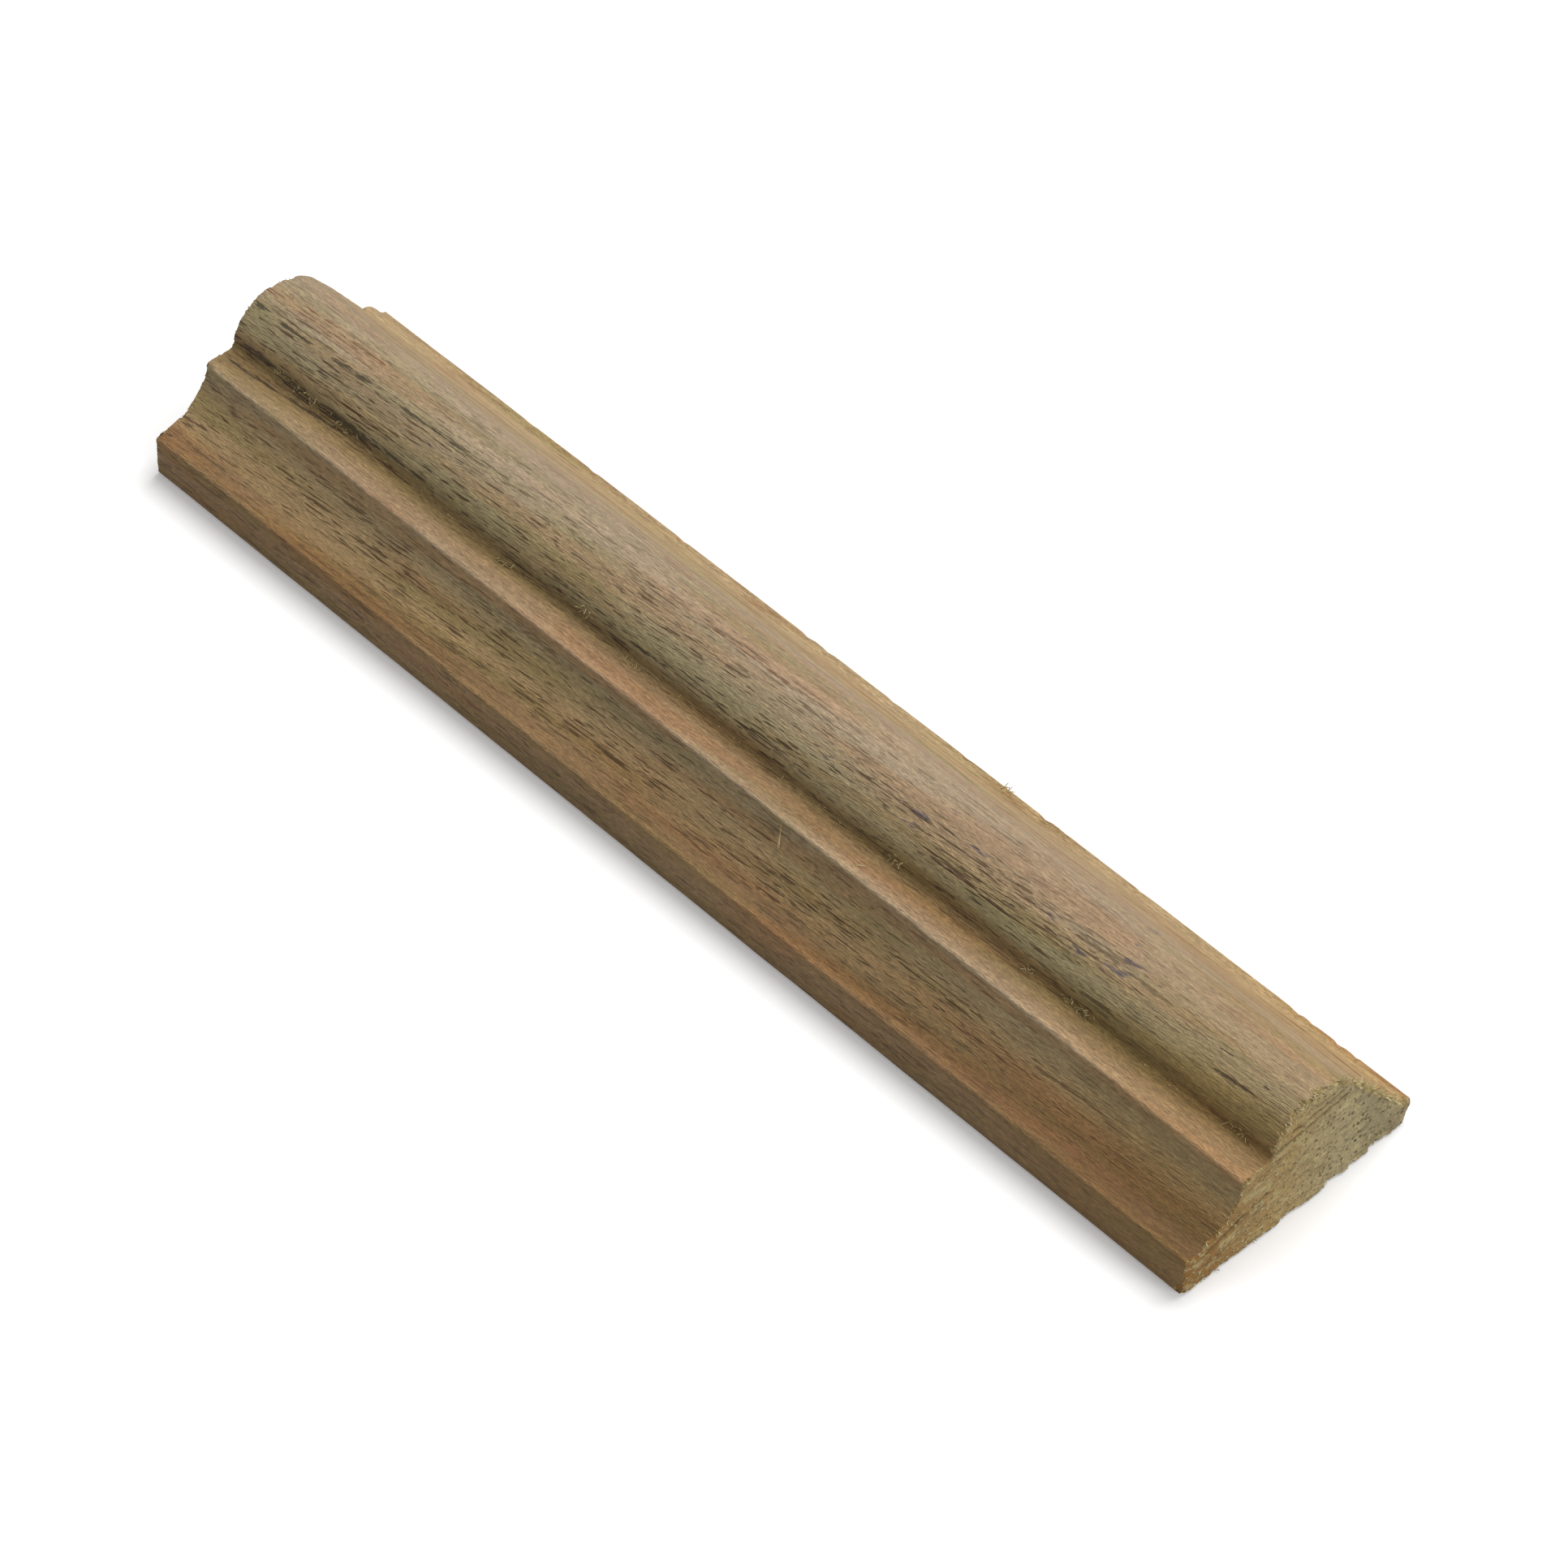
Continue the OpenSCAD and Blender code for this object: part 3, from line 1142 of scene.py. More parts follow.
def store(mesh: Mesh, name: str, values: np.ndarray) -> None:
    """Store a number or a vector for each vertex of a mesh.

    Args:
        mesh: Mesh that takes the attribute.
        name: Name of the attribute.
        values: One number or one row of three for each vertex.
    """
    is_vector = values.ndim == 2
    layer = mesh.attributes.new(name, "FLOAT_VECTOR" if is_vector else "FLOAT", "POINT")
    layer.data.foreach_set("vector" if is_vector else "value", values.astype(np.float32).ravel())


def vertex_places(mesh: Mesh) -> np.ndarray:
    """Give the places of a mesh's vertices in millimetres, one row each."""
    places = np.zeros(len(mesh.vertices) * 3, np.float32)
    mesh.vertices.foreach_get("co", places)
    return places.reshape(-1, 3).astype(float) / MM


def hold_in_box(mesh: Mesh, places: np.ndarray) -> None:
    """Move a mesh's vertices to places in millimetres, kept inside the box of the CAD solid."""
    low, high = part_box(NODE)
    held = np.clip(places * MM, np.array(low), np.array(high))
    mesh.vertices.foreach_set("co", held.astype(np.float32).ravel())
    mesh.update()


def attach_tree(made: Object, tree: NodeTree, values: dict[str, Any]) -> None:
    """Put a Geometry Nodes tree on an object and set its named inputs.

    Args:
        made: Object that takes the modifier.
        tree: The tree.
        values: Input values by name.
    """
    modifier = made.modifiers.new(tree.name, "NODES")
    modifier.node_group = tree
    known = {s.name: s.identifier for s in tree.interface.items_tree if s.in_out == "INPUT"}
    for name, value in values.items():
        modifier[known[name]] = value


def settle(made: Object) -> Object:
    """Turn an object with live modifiers into a plain mesh of the same name."""
    name = made.name
    made.name = name + "_live"
    view = bpy.context.evaluated_depsgraph_get()
    mesh = bpy.data.meshes.new_from_object(made.evaluated_get(view), depsgraph=view)
    mesh.name = name
    plain = add_object(name, mesh)
    old = made.data
    bpy.data.objects.remove(made)
    bpy.data.meshes.remove(old)
    return plain


def tree_with_inputs(name: str, **kinds: str) -> NodeTree:
    """Start a Geometry Nodes tree.

    Args:
        name: Name of the tree.
        **kinds: Names of the inputs, divided by commas, for each kind of socket.

    Returns:
        The tree, with geometry in and out.
    """
    tree = bpy.data.node_groups.new(name, "GeometryNodeTree")
    kinds = {"Geometry": "Geometry", **kinds}
    for kind, names in kinds.items():
        for label in names.split(", "):
            tree.interface.new_socket(name=label, in_out="INPUT", socket_type="NodeSocket" + kind)
    tree.interface.new_socket(name="Geometry", in_out="OUTPUT", socket_type="NodeSocketGeometry")
    return tree


@dataclass
class Run:
    """The length of moulding: its section swept along X and sawn at both ends."""

    section: Section = field(default_factory=Section)
    near: SawnEnd = NEAR_END
    far: SawnEnd = FAR_END
    stations: int = 214
    # How much closer the stations lie at the ends, from 0 to 1
    crowding: float = 0.75
    cap_step: float = 0.32
    # Least room between the outline and the lattice that fills an end
    cap_gap: float = 0.3
    # Raised fibres and slow cutter waves on the face
    fibre_depth: float = 0.09
    fibre_width: float = 0.8
    wave_depth: float = 0.18
    wave_length: float = 14.0
    # Saw lines and rags on the ends, and how far they reach into the run
    saw_depth: float = 0.2
    saw_spacing: float = 1.9
    rag_depth: float = 0.6
    rag_size: float = 1.1
    end_reach: float = 4.0
    # Depth of the nicks along the crest and the distance between them
    crest_depth: float = 0.16
    crest_spacing: float = 1.4
    # An end's vertices all lie less than this deep, and the run's beside it
    # move in full up to this deep
    cap_depth: float = 1.5
    full_depth: float = 0.6
    seed: int = 7

    def blank(self) -> Object:
        """Make the flat pattern of the section that the tree sweeps.

        Returns:
            A flat mesh at X 0. Its first vertices are the outline in order,
            and a closed lattice fills it.
        """
        points, normals, across = self.section.loop()
        count = len(points)
        low, high = points.min(axis=0), points.max(axis=0)
        rise = self.cap_step * math.sqrt(3) / 2
        lattice = []
        for number, v in enumerate(np.arange(low[1] + rise, high[1], rise)):
            start = low[0] + self.cap_step * (1 + 0.5 * (number % 2))
            lattice += [(u, v) for u in np.arange(start, high[0], self.cap_step)]
        inner = np.array(lattice)
        inner = inner[self.inside(inner, points)]
        inner = inner[self.nearest(inner, points)[1] > self.cap_gap]
        flat = np.concatenate([points, inner])
        edges = [(k, (k + 1) % count) for k in range(count)]
        # Output type 1 keeps the triangles inside of the outline alone
        spots = [Vector(p) for p in flat]
        placed, _, faces, came_from, _, _ = delaunay_2d_cdt(spots, edges, [], 1, 1e-6)
        order = [sources[0] for sources in came_from]
        faces = [[order[k] for k in face] for face in faces]
        half = self.section.width / 2
        upright = np.stack([np.zeros(len(flat)), flat[:, 0] - half, flat[:, 1]], axis=1)
        made = plain_mesh("moulding_run", upright, faces)
        vectors = np.zeros((len(flat), 3))
        vectors[:count, 1:] = normals
        store(made.data, "side", vectors)
        store(made.data, "across", np.concatenate([across, np.zeros(len(inner))]))
        LOG.info("section: %d outline points, %d in all", count, len(placed))
        return made

    @staticmethod
    def nearest(spots: np.ndarray, loop: np.ndarray) -> tuple[np.ndarray, np.ndarray]:
        """Give the number of the outline point nearest to each spot, and its distance."""
        gaps = np.hypot(spots[:, None, 0] - loop[None, :, 0], spots[:, None, 1] - loop[None, :, 1])
        return gaps.argmin(axis=1), gaps.min(axis=1)

    @staticmethod
    def inside(spots: np.ndarray, loop: np.ndarray) -> np.ndarray:
        """Say which spots lie inside a closed outline.

        Args:
            spots: Places to test.
            loop: Corners of the outline.

        Returns:
            True for each spot inside.
        """
        crossed = np.zeros(len(spots), bool)
        after = np.roll(loop, -1, axis=0)
        for (u0, v0), (u1, v1) in zip(loop, after):
            if v0 == v1:
                continue
            between = (spots[:, 1] > min(v0, v1)) & (spots[:, 1] <= max(v0, v1))
            meet = u0 + (spots[:, 1] - v0) * (u1 - u0) / (v1 - v0)
            crossed ^= between & (spots[:, 0] < meet)
        return crossed

    def sweep_tree(self) -> NodeTree:
        """Build the tree that sweeps the section, closes the ends and roughens the wood.

        Returns:
            A Geometry Nodes tree with named inputs. Its lengths are in metres.
        """
        tree = tree_with_inputs(
            "machined_and_sawn", Int="Stations, Outline points", Material="Run finish, End finish",
            Float="Near end, Far end, Crowding, Fibre depth, Fibre width, Wave depth, Wave length, "
                  "Saw depth, Saw spacing, Rag depth, Rag size, End reach, Seed")
        add = partial(add_node, tree)
        given = tree.nodes.new("NodeGroupInput").outputs
        place = add("GeometryNodeInputPosition")
        across = add("GeometryNodeInputNamedAttribute", NUMBER, Name="across")
        side = add("GeometryNodeInputNamedAttribute", VECTOR, Name="side")

        # A grid of stations by outline points; one extra column closes the round
        columns = add("ShaderNodeMath", PLUS, in0=given["Outline points"], in1=1.0)
        grid = add("GeometryNodeMeshGrid", Vertices_X=given["Stations"], Vertices_Y=columns)
        shares = add("ShaderNodeSeparateXYZ", Vector=grid.outputs["UV Map"])
        column = add("ShaderNodeMath", TIMES, in0=shares.outputs["Y"], in1=given["Outline points"])
        column = add("ShaderNodeMath", {"operation": "ROUND"}, in0=column)
        wrapped = add("ShaderNodeMath", {"operation": "FLOORED_MODULO"}, in0=column,
                      in1=given["Outline points"])
        source = {"Geometry": given["Geometry"], "Index": wrapped}
        spot = add("GeometryNodeSampleIndex", VECTOR, Value=place, **source)
        run_side = add("GeometryNodeSampleIndex", VECTOR, Value=side, **source)
        run_across = add("GeometryNodeSampleIndex", NUMBER, Value=across, **source)

        # Stations crowd together at the sawn ends, where the rags need them
        eased = add("ShaderNodeMapRange", EASED, Value=shares.outputs["X"])
        share = add("ShaderNodeMix", NUMBER, Factor=given["Crowding"], A=shares.outputs["X"], B=eased)
        along = add("ShaderNodeMapRange", Value=share, To_Min=given["Far end"], To_Max=given["Near end"])
        shift = add("ShaderNodeCombineXYZ", X=along)
        target = add("ShaderNodeVectorMath", PLUS, in0=spot, in1=shift)
        skin = add("GeometryNodeSetPosition", Geometry=grid, Position=target)
        for name, kind, domain, value in (("side", "FLOAT_VECTOR", "POINT", run_side),
                                          ("across", "FLOAT", "POINT", run_across),
                                          ("sawn", "FLOAT", "FACE", 0.0)):
            skin = add("GeometryNodeStoreNamedAttribute", {"data_type": kind, "domain": domain},
                       Geometry=skin, Name=name, Value=value)

        # The two sawn ends, the far one turned over so that it faces outwards
        pieces = [skin]
        for end in ("Near end", "Far end"):
            move = add("ShaderNodeCombineXYZ", X=given[end])
            cap = add("GeometryNodeTransform", Geometry=given["Geometry"], Translation=move)
            if end == "Far end":
                cap = add("GeometryNodeFlipFaces", Mesh=cap)
            pieces.append(add("GeometryNodeStoreNamedAttribute",
                              {"data_type": "FLOAT", "domain": "FACE"},
                              Geometry=cap, Name="sawn", Value=1.0))
        joined = add("GeometryNodeJoinGeometry")
        for piece in reversed(pieces):
            tree.links.new(piece.outputs[0], joined.inputs[0])
        welded = add("GeometryNodeMergeByDistance", Geometry=joined, Distance=1e-6)

        # Relief on the run: raised fibres along the grain and slow cutter waves.
        # Relief on the ends: level saw lines and rags, the same for every station
        # and fading along the run, so that the skin never folds.
        xyz = add("ShaderNodeSeparateXYZ", Vector=place)
        direction = add("ShaderNodeMath", {"operation": "SIGN"}, in0=xyz.outputs["X"])
        flat = add("ShaderNodeCombineXYZ", X=direction, Y=xyz.outputs["Y"], Z=xyz.outputs["Z"])
        cuts = []
        for where, stretch, size, depth in ((place, (0.04, 1.0, 1.0), "Fibre width", "Fibre depth"),
                                            (place, (1.0, 3.0, 3.0), "Wave length", "Wave depth"),
                                            (flat, (3.0, 0.12, 1.0), "Saw spacing", "Saw depth"),
                                            (flat, (1.0, 1.0, 1.0), "Rag size", "Rag depth")):
            spread = add("ShaderNodeVectorMath", TIMES, in0=where, in1=stretch)
            scale = add("ShaderNodeMath", DIVIDED, in0=1.0, in1=given[size])
            noise = add("ShaderNodeTexNoise", {"noise_dimensions": "4D"}, Vector=spread,
                        W=given["Seed"], Scale=scale, Detail=2.0, Roughness=0.6)
            cuts.append(add("ShaderNodeMath", TIMES, in0=noise, in1=given[depth]))
        side_cut = add("ShaderNodeMath", PLUS, in0=cuts[0], in1=cuts[1])
        inward = add("ShaderNodeMath", TIMES, in0=side_cut, in1=-1.0)
        side_move = add("ShaderNodeVectorMath", SCALED, in0=side, Scale=inward)
        end_cut = add("ShaderNodeMath", PLUS, in0=cuts[2], in1=cuts[3])
        most = add("ShaderNodeMath", PLUS, in0=given["Saw depth"], in1=given["Rag depth"])
        end_move = add("ShaderNodeMath", TIMES_PLUS, in0=most, in1=-0.5, in2=end_cut)
        reach = add("ShaderNodeMath", {"operation": "ABSOLUTE"}, in0=xyz.outputs["X"])
        inner = add("ShaderNodeMath", {"operation": "SUBTRACT"}, in0=given["Near end"],
                    in1=given["End reach"])
        fade = add("ShaderNodeMapRange", EASED, Value=reach, From_Min=inner, From_Max=given["Near end"])
        signed = add("ShaderNodeMath", TIMES, in0=end_move, in1=direction)
        faded = add("ShaderNodeMath", TIMES, in0=signed, in1=fade)
        offset = add("ShaderNodeCombineXYZ", X=faded)
        offset = add("ShaderNodeVectorMath", PLUS, in0=side_move, in1=offset)
        rough = add("GeometryNodeSetPosition", Geometry=welded, Offset=offset)

        sawn = add("GeometryNodeInputNamedAttribute", NUMBER, Name="sawn")
        is_end = add("FunctionNodeCompare", {"data_type": "FLOAT", "operation": "GREATER_THAN"},
                     A=sawn, B=0.5)
        real = add("GeometryNodeRealizeInstances", Geometry=rough)
        dressed = add("GeometryNodeSetMaterial", Geometry=real, Material=given["Run finish"])
        dressed = add("GeometryNodeSetMaterial", Geometry=dressed,
                      Selection=is_end, Material=given["End finish"])
        add("NodeGroupOutput", Geometry=dressed)
        return tree

    def build(self, run_finish: Material, end_finish: Material) -> Object:
        """Make the finished length.

        Args:
            run_finish: Material of the moulded face and the back.
            end_finish: Material of the sawn ends.

        Returns:
            The moulding as one closed mesh.
        """
        made = self.blank()
        attach_tree(made, self.sweep_tree(), {
            "Near end": self.near.plane * MM, "Far end": -self.far.plane * MM, "Crowding": self.crowding,
            "Fibre depth": self.fibre_depth * MM, "Fibre width": self.fibre_width * MM,
            "Wave depth": self.wave_depth * MM, "Wave length": self.wave_length * MM,
            "Saw depth": self.saw_depth * MM, "Saw spacing": self.saw_spacing * MM,
            "Rag depth": self.rag_depth * MM, "Rag size": self.rag_size * MM,
            "End reach": self.end_reach * MM, "Seed": float(self.seed),
            "Stations": self.stations, "Outline points": len(self.section.loop()[0]),
            "Run finish": run_finish, "End finish": end_finish,
        })
        made = settle(made)
        mesh = made.data
        places = vertex_places(mesh)
        across = np.zeros(len(places), np.float32)
        mesh.attributes["across"].data.foreach_get("value", across)
        side = np.zeros(len(places) * 3, np.float32)
        mesh.attributes["side"].data.foreach_get("vector", side)
        for kind, marks in MARKS.items():
            store(mesh, kind.value, np.max([mark.cover(places[:, 0], across) for mark in marks], axis=0))
        nicked = self.nick(places, across, side.reshape(-1, 3))
        hold_in_box(mesh, self.shape_ends(mesh, nicked))
        return made

    def nick(self, places: np.ndarray, across: np.ndarray, side: np.ndarray) -> np.ndarray:
        """Sink the bites and the nicks along the crest.

        Args:
            places: Vertices of the run.
            across: Distance across of each.
            side: Outward direction of each; zero inside an end.

        Returns:
            The moved vertices.
        """
        along = places[:, 0]
        sink = np.sum([bite.sink(along, across) for bite in BITES], axis=0)
        # Small teeth, only where the crest's arris runs and the random numbers are high
        near_crest = 1 - smooth(0.3, 1.1, np.abs(across - self.section.crest()))
        teeth = smooth(0.45, 1.0, ripple(along, self.crest_spacing, self.seed))
        sink = sink + near_crest * teeth * self.crest_depth
        return places - side * sink[:, None]

    def shape_ends(self, mesh: Mesh, places: np.ndarray) -> np.ndarray:
        """Give the sawn ends their worn edges, splinters, swell and deep saw lines.

        Args:
            mesh: Mesh of the run, which takes the saw lines as an attribute.
            places: Its vertices.

        Returns:
            The moved vertices.
        """
        loop, _, across = self.section.loop()
        around = across[-1] + self.section.back_step
        dark = np.zeros(len(places))
        moved = places.copy()
        for sign, end in ((1, self.near), (-1, self.far)):
            along = places[:, 0] * sign
            chosen = np.flatnonzero(along > end.plane - end.reach)
            spots = places[chosen][:, 1:] + (self.section.width / 2, 0.0)
            number, gap = self.nearest(spots, loop)
            on_skin = along[chosen] < end.plane - self.cap_depth
            gap[on_skin | (gap < self.cap_gap / 2)] = 0.0
            fade = smooth(end.plane - end.reach, end.plane - self.full_depth, along[chosen])
            moved[chosen, 0] += sign * fade * end.move(spots, across[number], gap, around)
            for line in end.lines:
                dark[chosen] = np.maximum(dark[chosen], line.cover(spots))
        store(mesh, "saw_line", dark)
        return moved


@dataclass(frozen=True)
class Tuft:
    """A patch of torn fibres that stand on the wood.

    Attributes:
        along: Middle of the patch along the length.
        across: Its middle across.
        span: Half of its length along.
        spread: Half of its width across.
        count: How many fibres it has.
        longest: Length of its longest fibres.
        lean: Main direction: along the length, out of the wood, and across.
        loose: How far the fibres stray from it.
    """

    along: float
    across: float
    span: float
    spread: float
    count: int
    longest: float
    lean: tuple[float, float, float]
    loose: float = 0.5


TUFTS: tuple[Tuft, ...] = (
    # Splintered top edge of the near end, from the bead over the bevel to the toe
    Tuft(100.5, 30.5, 0.35, 4.0, 50, 1.0, (1.0, 0.1, 0.2), 0.5),
    Tuft(100.2, 38.5, 0.5, 4.5, 100, 1.2, (1.0, 0.15, 0.1), 0.4),
    Tuft(100.2, 47.0, 0.6, 4.5, 110, 1.4, (1.0, 0.4, 0.1), 0.6),
    Tuft(100.3, 56.0, 0.6, 5.5, 130, 1.5, (1.0, 0.5, 0.2), 0.8),
    Tuft(100.3, 64.0, 0.5, 3.5, 70, 1.2, (1.0, 0.5, 0.3), 0.8),
    Tuft(100.6, 15.0, 0.3, 7.0, 50, 0.7, (1.0, 0.1, 0.0), 0.5),
    Tuft(100.4, 93.0, 0.4, 20.0, 110, 0.8, (1.0, 0.0, 0.0), 0.5),
    # The same on the far end
    Tuft(-101.0, 40.0, 0.3, 9.0, 60, 0.6, (-1.0, 0.1, 0.0), 0.5),
    Tuft(-101.0, 14.0, 0.3, 6.0, 40, 0.5, (-1.0, 0.1, 0.0), 0.5),
    # Tufts caught in the quirk
    Tuft(-88.0, 27.2, 5.0, 0.7, 42, 0.68, (0.6, 0.7, 0.0), 0.8),
    Tuft(-78.0, 26.6, 3.0, 0.6, 33, 0.74, (0.6, 0.7, 0.0), 0.8),
    Tuft(-62.0, 26.2, 8.0, 0.5, 33, 0.56, (0.7, 0.6, 0.0), 0.8),
    Tuft(-43.9, 25.8, 1.6, 0.4, 25, 0.99, (0.6, 0.8, 0.2), 0.8),
    Tuft(-28.1, 27.8, 1.4, 0.6, 22, 0.93, (0.4, 0.8, 0.4), 0.8),
    Tuft(-19.1, 25.7, 3.0, 0.4, 22, 0.74, (0.6, 0.7, 0.2), 0.8),
    Tuft(8.0, 25.9, 18.0, 0.6, 36, 0.62, (0.7, 0.6, 0.2), 0.8),
    Tuft(32.9, 26.9, 1.5, 0.6, 22, 0.93, (0.5, 0.8, 0.2), 0.8),
    Tuft(57.5, 26.2, 1.6, 0.5, 22, 0.81, (0.5, 0.8, 0.2), 0.8),
    Tuft(66.4, 26.3, 2.6, 0.6, 47, 0.99, (0.5, 0.8, 0.2), 0.8),
    Tuft(80.0, 25.9, 9.0, 0.5, 33, 0.62, (0.7, 0.6, 0.2), 0.8),
    Tuft(94.3, 26.6, 2.2, 0.5, 30, 0.81, (0.5, 0.7, 0.2), 0.8),
    Tuft(78.0, 33.0, 12.0, 1.6, 14, 0.8, (0.9, 0.3, 0.2), 0.6),
    # Single hairs on the crest and the back edge
    Tuft(16.3, 20.2, 0.4, 0.2, 2, 3.4, (0.5, 0.3, -0.8), 0.2),
    Tuft(28.9, 22.3, 0.4, 0.3, 2, 2.6, (0.6, 0.4, 0.5), 0.2),
    Tuft(26.5, 67.4, 1.2, 0.4, 12, 1.4, (0.6, 0.6, 0.3), 0.7),
)


@dataclass
class LooseFibre:
    """Torn fibres on the sawn edges and in the quirk."""

    section: Section
    seed: int = 31
    # Thickness of a fibre. The real ones are a third of this and wouldn't show
    thick: float = 0.12
    # How deep a root sits in the wood
    root_depth: float = 0.25
    # Least and most thickness and length of a fibre, as shares
    thick_shares: tuple[float, float] = (0.6, 1.3)
    length_shares: tuple[float, float] = (0.35, 1.0)
    # How far a fibre bends over as a share of its length, and how thin its tip is
    bend: float = 0.35
    thin_tip: float = 0.35

    def roots(self) -> tuple[np.ndarray, np.ndarray, np.ndarray]:
        """Place the fibres.

        Returns:
            Root, direction and size of each fibre; a size is its thickness
            twice and its length.
        """
        chance = np.random.default_rng(self.seed)
        loop, normals, across = self.section.loop()
        roots, leans, sizes = [], [], []
        for tuft in TUFTS:
            for _ in range(tuft.count):
                where = tuft.across + tuft.spread * chance.uniform(-1, 1)
                out = np.array([0.0, *(np.interp(where, across, normals[:, k]) for k in (0, 1))])
                out /= np.linalg.norm(out)
                around = np.array([0.0, out[2], -out[1]])
                root = np.array([tuft.along + tuft.span * chance.uniform(-1, 1),
                                 np.interp(where, across, loop[:, 0]) - self.section.width / 2,
                                 np.interp(where, across, loop[:, 1])])
                lean = tuft.lean[0] * np.array([1.0, 0.0, 0.0]) + tuft.lean[1] * out
                lean = lean + tuft.lean[2] * around + tuft.loose * chance.normal(size=3)
                lean -= out * min(0.0, lean @ out)
                roots.append(root - out * self.root_depth)
                leans.append(lean / np.linalg.norm(lean))
                thick = self.thick * chance.uniform(*self.thick_shares)
                sizes.append((thick, thick, tuft.longest * chance.uniform(*self.length_shares)))
        return np.array(roots), np.array(leans), np.array(sizes)

    @staticmethod
    def tree() -> NodeTree:
        """Build the tree that puts a bent fibre on each root."""
        tree = tree_with_inputs("torn_fibres", Float="Bend, Thin tip", Int="Seed", Material="Finish")
        add = partial(add_node, tree)
        given = tree.nodes.new("NodeGroupInput").outputs
        spot = add("GeometryNodeInputNamedAttribute", VECTOR, Name="lean")
        size = add("GeometryNodeInputNamedAttribute", VECTOR, Name="size")
        # Three kinds of fibre, from nearly straight to well bent
        kinds = add("GeometryNodeJoinGeometry")
        for share in (0.15, 0.6, 1.0):
            bend = add("ShaderNodeMath", TIMES, in0=given["Bend"], in1=share)
            bent = add("ShaderNodeCombineXYZ", X=bend, Z=0.5)
            tip = add("ShaderNodeCombineXYZ", X=bend, Y=bend, Z=1.0)
            hair = add("GeometryNodeCurvePrimitiveBezierSegment", Resolution=5, Start=(0.0, 0.0, 0.0),
                       Start_Handle=(0.0, 0.0, 0.3), End_Handle=bent, End=tip)
            along = add("GeometryNodeSplineParameter")
            width = add("ShaderNodeMapRange", Value=along.outputs["Factor"], To_Min=1.0,
                        To_Max=given["Thin tip"])
            tapered = add("GeometryNodeSetCurveRadius", Curve=hair, Radius=width)
            ring = add("GeometryNodeCurvePrimitiveCircle", {"mode": "RADIUS"}, Resolution=3, Radius=0.5)
            solid = add("GeometryNodeCurveToMesh", Curve=tapered, Profile_Curve=ring, Fill_Caps=True)
            kind = add("GeometryNodeGeometryToInstance", Geometry=solid)
            tree.links.new(kind.outputs[0], kinds.inputs[0])
        upright = add("FunctionNodeAlignRotationToVector", {"axis": "Z"}, Vector=spot)
        roll = add("FunctionNodeRandomValue", NUMBER, Min=0.0, Max=6.28, Seed=given["Seed"])
        turn = add("FunctionNodeAxisAngleToRotation", Axis=(0.0, 0.0, 1.0), Angle=roll)
        turned = add("FunctionNodeRotateRotation", {"rotation_space": "LOCAL"}, Rotation=upright,
                     Rotate_By=turn)
        pick = add("FunctionNodeRandomValue", {"data_type": "INT"}, Min=0, Max=2, Seed=given["Seed"])
        placed = add("GeometryNodeInstanceOnPoints", Points=given["Geometry"], Instance=kinds,
                     Pick_Instance=True, Instance_Index=pick, Rotation=turned,
                     Scale=size)
        real = add("GeometryNodeRealizeInstances", Geometry=placed)
        dressed = add("GeometryNodeSetMaterial", Geometry=real, Material=given["Finish"])
        add("NodeGroupOutput", Geometry=dressed)
        return tree

    def build(self, finish: Material) -> Object:
        """Make all loose fibres as one object.

        Args:
            finish: Material of the fibres.

        Returns:
            The fibres, each a small closed mesh.
        """
        roots, leans, sizes = self.roots()
        made = plain_mesh("loose_fibre", roots, [])
        store(made.data, "lean", leans)
        store(made.data, "size", sizes * MM)
        attach_tree(made, self.tree(), {"Bend": self.bend, "Thin tip": self.thin_tip, "Seed": self.seed,
                                        "Finish": finish})
        made = settle(made)
        hold_in_box(made.data, vertex_places(made.data))
        return made


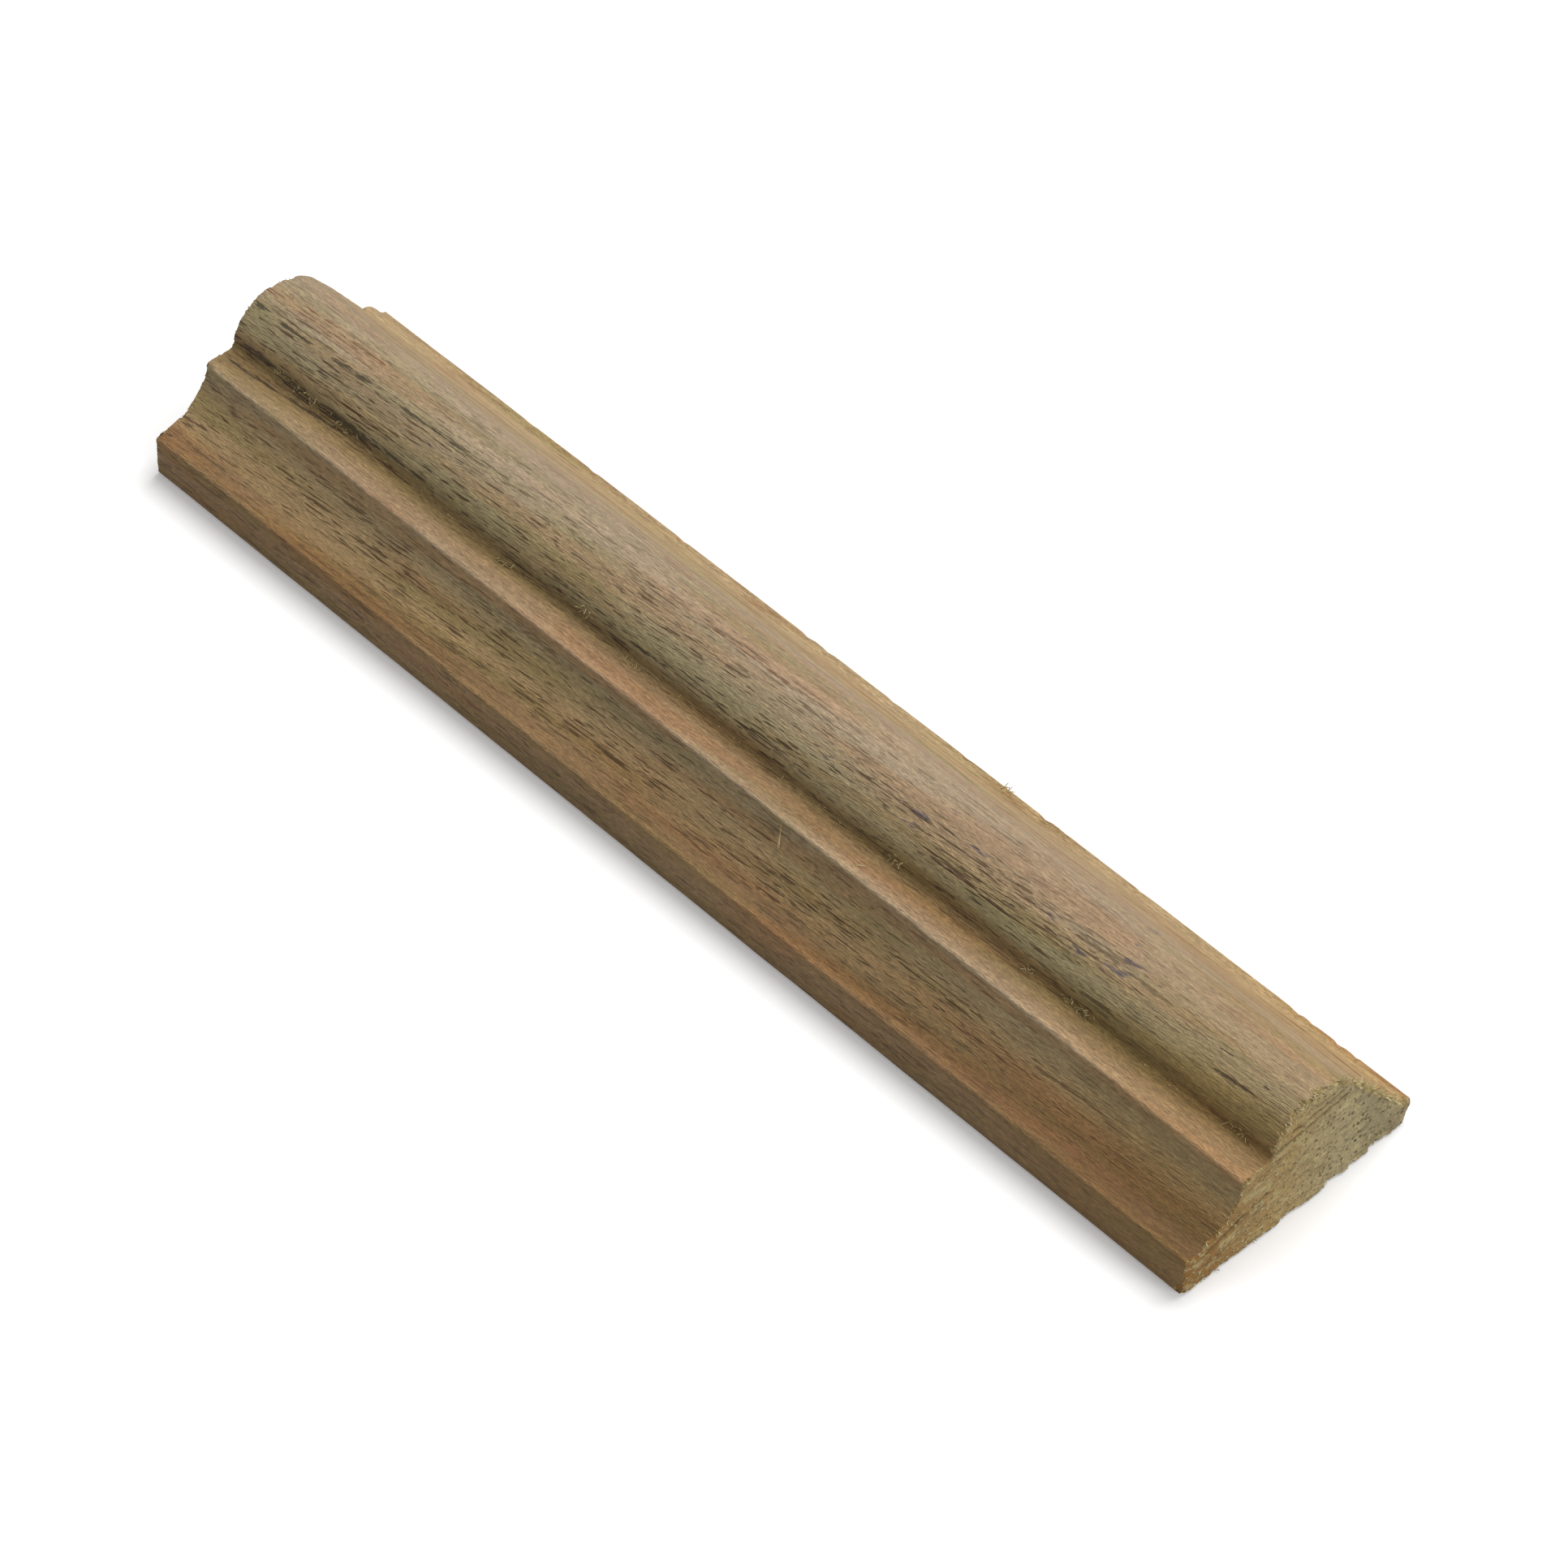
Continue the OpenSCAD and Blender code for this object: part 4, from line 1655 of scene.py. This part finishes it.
@dataclass(frozen=True)
class Studio:
    """Camera, lamps, world and floor."""

    # Where the camera stands, and its own right and forward directions
    place: tuple[float, float, float] = (378.0, -411.61, 619.26)
    right: tuple[float, float, float] = (0.70233, 0.71016, 0.0491)
    forward: tuple[float, float, float] = (-0.44998, 0.49635, -0.7424)
    lens: float = 137.89
    sensor: float = 36.0
    # Strength of the room's light on the piece, where 1 is what the camera sees
    room_light: float = 0.3
    # Half the side of the floor and how far it lies below the piece, in metres
    floor_half: float = 3.0
    floor_drop: float = 0.0002
    # The floor's colour as it lights the piece and as it is seen, and the glow
    # that makes the seen one white
    floor_lit: str = "#9a9a9a"
    floor_seen: str = "#eeeeee"
    floor_glow: float = 0.24

    def camera(self) -> None:
        """Set the camera at the photograph's viewing angle."""
        data = bpy.data.cameras.new("camera")
        data.lens = self.lens
        data.sensor_width = self.sensor
        data.clip_start = 0.01
        data.clip_end = 20.0
        forward = Vector(self.forward).normalized()
        right = Vector(self.right)
        right = (right - right.dot(forward) * forward).normalized()
        up = right.cross(forward)
        turned = Matrix((right, up, -forward)).transposed().to_4x4()
        turned.translation = Vector(self.place) * MM
        camera = add_object("camera", data)
        camera.matrix_world = turned
        bpy.context.scene.camera = camera

    @staticmethod
    def lamp(name: str, place: tuple[float, float, float], size: float, watts: float) -> None:
        """Add a square soft lamp that points at the moulding.

        Args:
            name: Name of the lamp.
            place: Where it stands, in metres.
            size: Length of its side, in metres.
            watts: Its power.
        """
        data = bpy.data.lights.new(name, "AREA")
        data.shape = "SQUARE"
        data.size = size
        data.energy = watts
        made = add_object(name, data)
        made.location = place
        made.rotation_mode = "QUATERNION"
        made.rotation_quaternion = (-Vector(place)).to_track_quat("-Z", "Y")

    @staticmethod
    def seen_colour(tree: NodeTree) -> Feed:
        """Add nodes that give 1 to rays that show the backdrop and 0 to rays that light.

        Args:
            tree: Material or world tree that takes the nodes.

        Returns:
            The node that carries the number.
        """
        add = partial(add_node, tree)
        path = add("ShaderNodeLightPath")
        first = add("ShaderNodeMath", LARGER, in0=path.outputs["Is Camera Ray"],
                    in1=path.outputs["Is Glossy Ray"])
        both = add("ShaderNodeMath", LARGER, in0=first, in1=path.outputs["Is Transmission Ray"])
        return both

    def world(self) -> None:
        """Fill the room with plain pale light."""
        world = bpy.data.worlds.new("plain_room")
        bpy.context.scene.world = world
        world.use_nodes = True
        tree = world.node_tree
        tree.nodes.clear()
        add = partial(add_node, tree)
        strength = add("ShaderNodeMapRange", Value=self.seen_colour(tree), To_Min=self.room_light,
                       To_Max=1.0)
        glow = add("ShaderNodeBackground", Color=linear("#ffffff"), Strength=strength)
        add("ShaderNodeOutputWorld", Surface=glow)

    def floor(self) -> None:
        """Lay a plain white floor under the moulding."""
        half = self.floor_half
        mesh = bpy.data.meshes.new("floor")
        mesh.from_pydata([(-half, -half, 0), (half, -half, 0), (half, half, 0), (-half, half, 0)], [],
                         [(0, 1, 2, 3)])
        made = add_object("floor", mesh)
        made.location.z = -self.floor_drop
        material, tree = new_material("white_card_floor")
        add = partial(add_node, tree)
        seen = self.seen_colour(tree)
        colour = add("ShaderNodeMix", BLENDED, Factor=seen, A=linear(self.floor_lit),
                     B=linear(self.floor_seen))
        shader = add("ShaderNodeBsdfDiffuse", Color=colour)
        lift = add("ShaderNodeMath", TIMES, in0=seen, in1=self.floor_glow)
        glow = add("ShaderNodeEmission", Color=linear("#ffffff"), Strength=lift)
        both = add("ShaderNodeAddShader", in0=shader, in1=glow)
        add("ShaderNodeOutputMaterial", Surface=both)
        mesh.materials.append(material)

    def set_up(self) -> None:
        """Build the whole studio."""
        self.camera()
        self.world()
        self.floor()
        self.lamp("key", place=(0.0, 0.5, 1.3), size=0.9, watts=15.8)
        self.lamp("fill", place=(1.35, 0.1, 0.4), size=0.9, watts=9.6)
        bpy.context.scene.view_settings.view_transform = "Standard"


def main() -> None:
    """Build the moulding and its studio, and report each piece."""
    logging.basicConfig(level=logging.INFO, format="%(name)s: %(message)s")
    Studio().set_up()
    run = Run()
    body = run.build(RunFinish().build(), EndFinish().build(run.section.width))
    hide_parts(NODE)
    fibres = LooseFibre(run.section).build(FibreFinish().build())
    for piece in (body, fibres):
        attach(piece, BODY)
        triangles = sum(len(f.vertices) - 2 for f in piece.data.polygons)
        LOG.info("%s: %d triangles", piece.name, triangles)


if __name__ == "__main__":
    main()
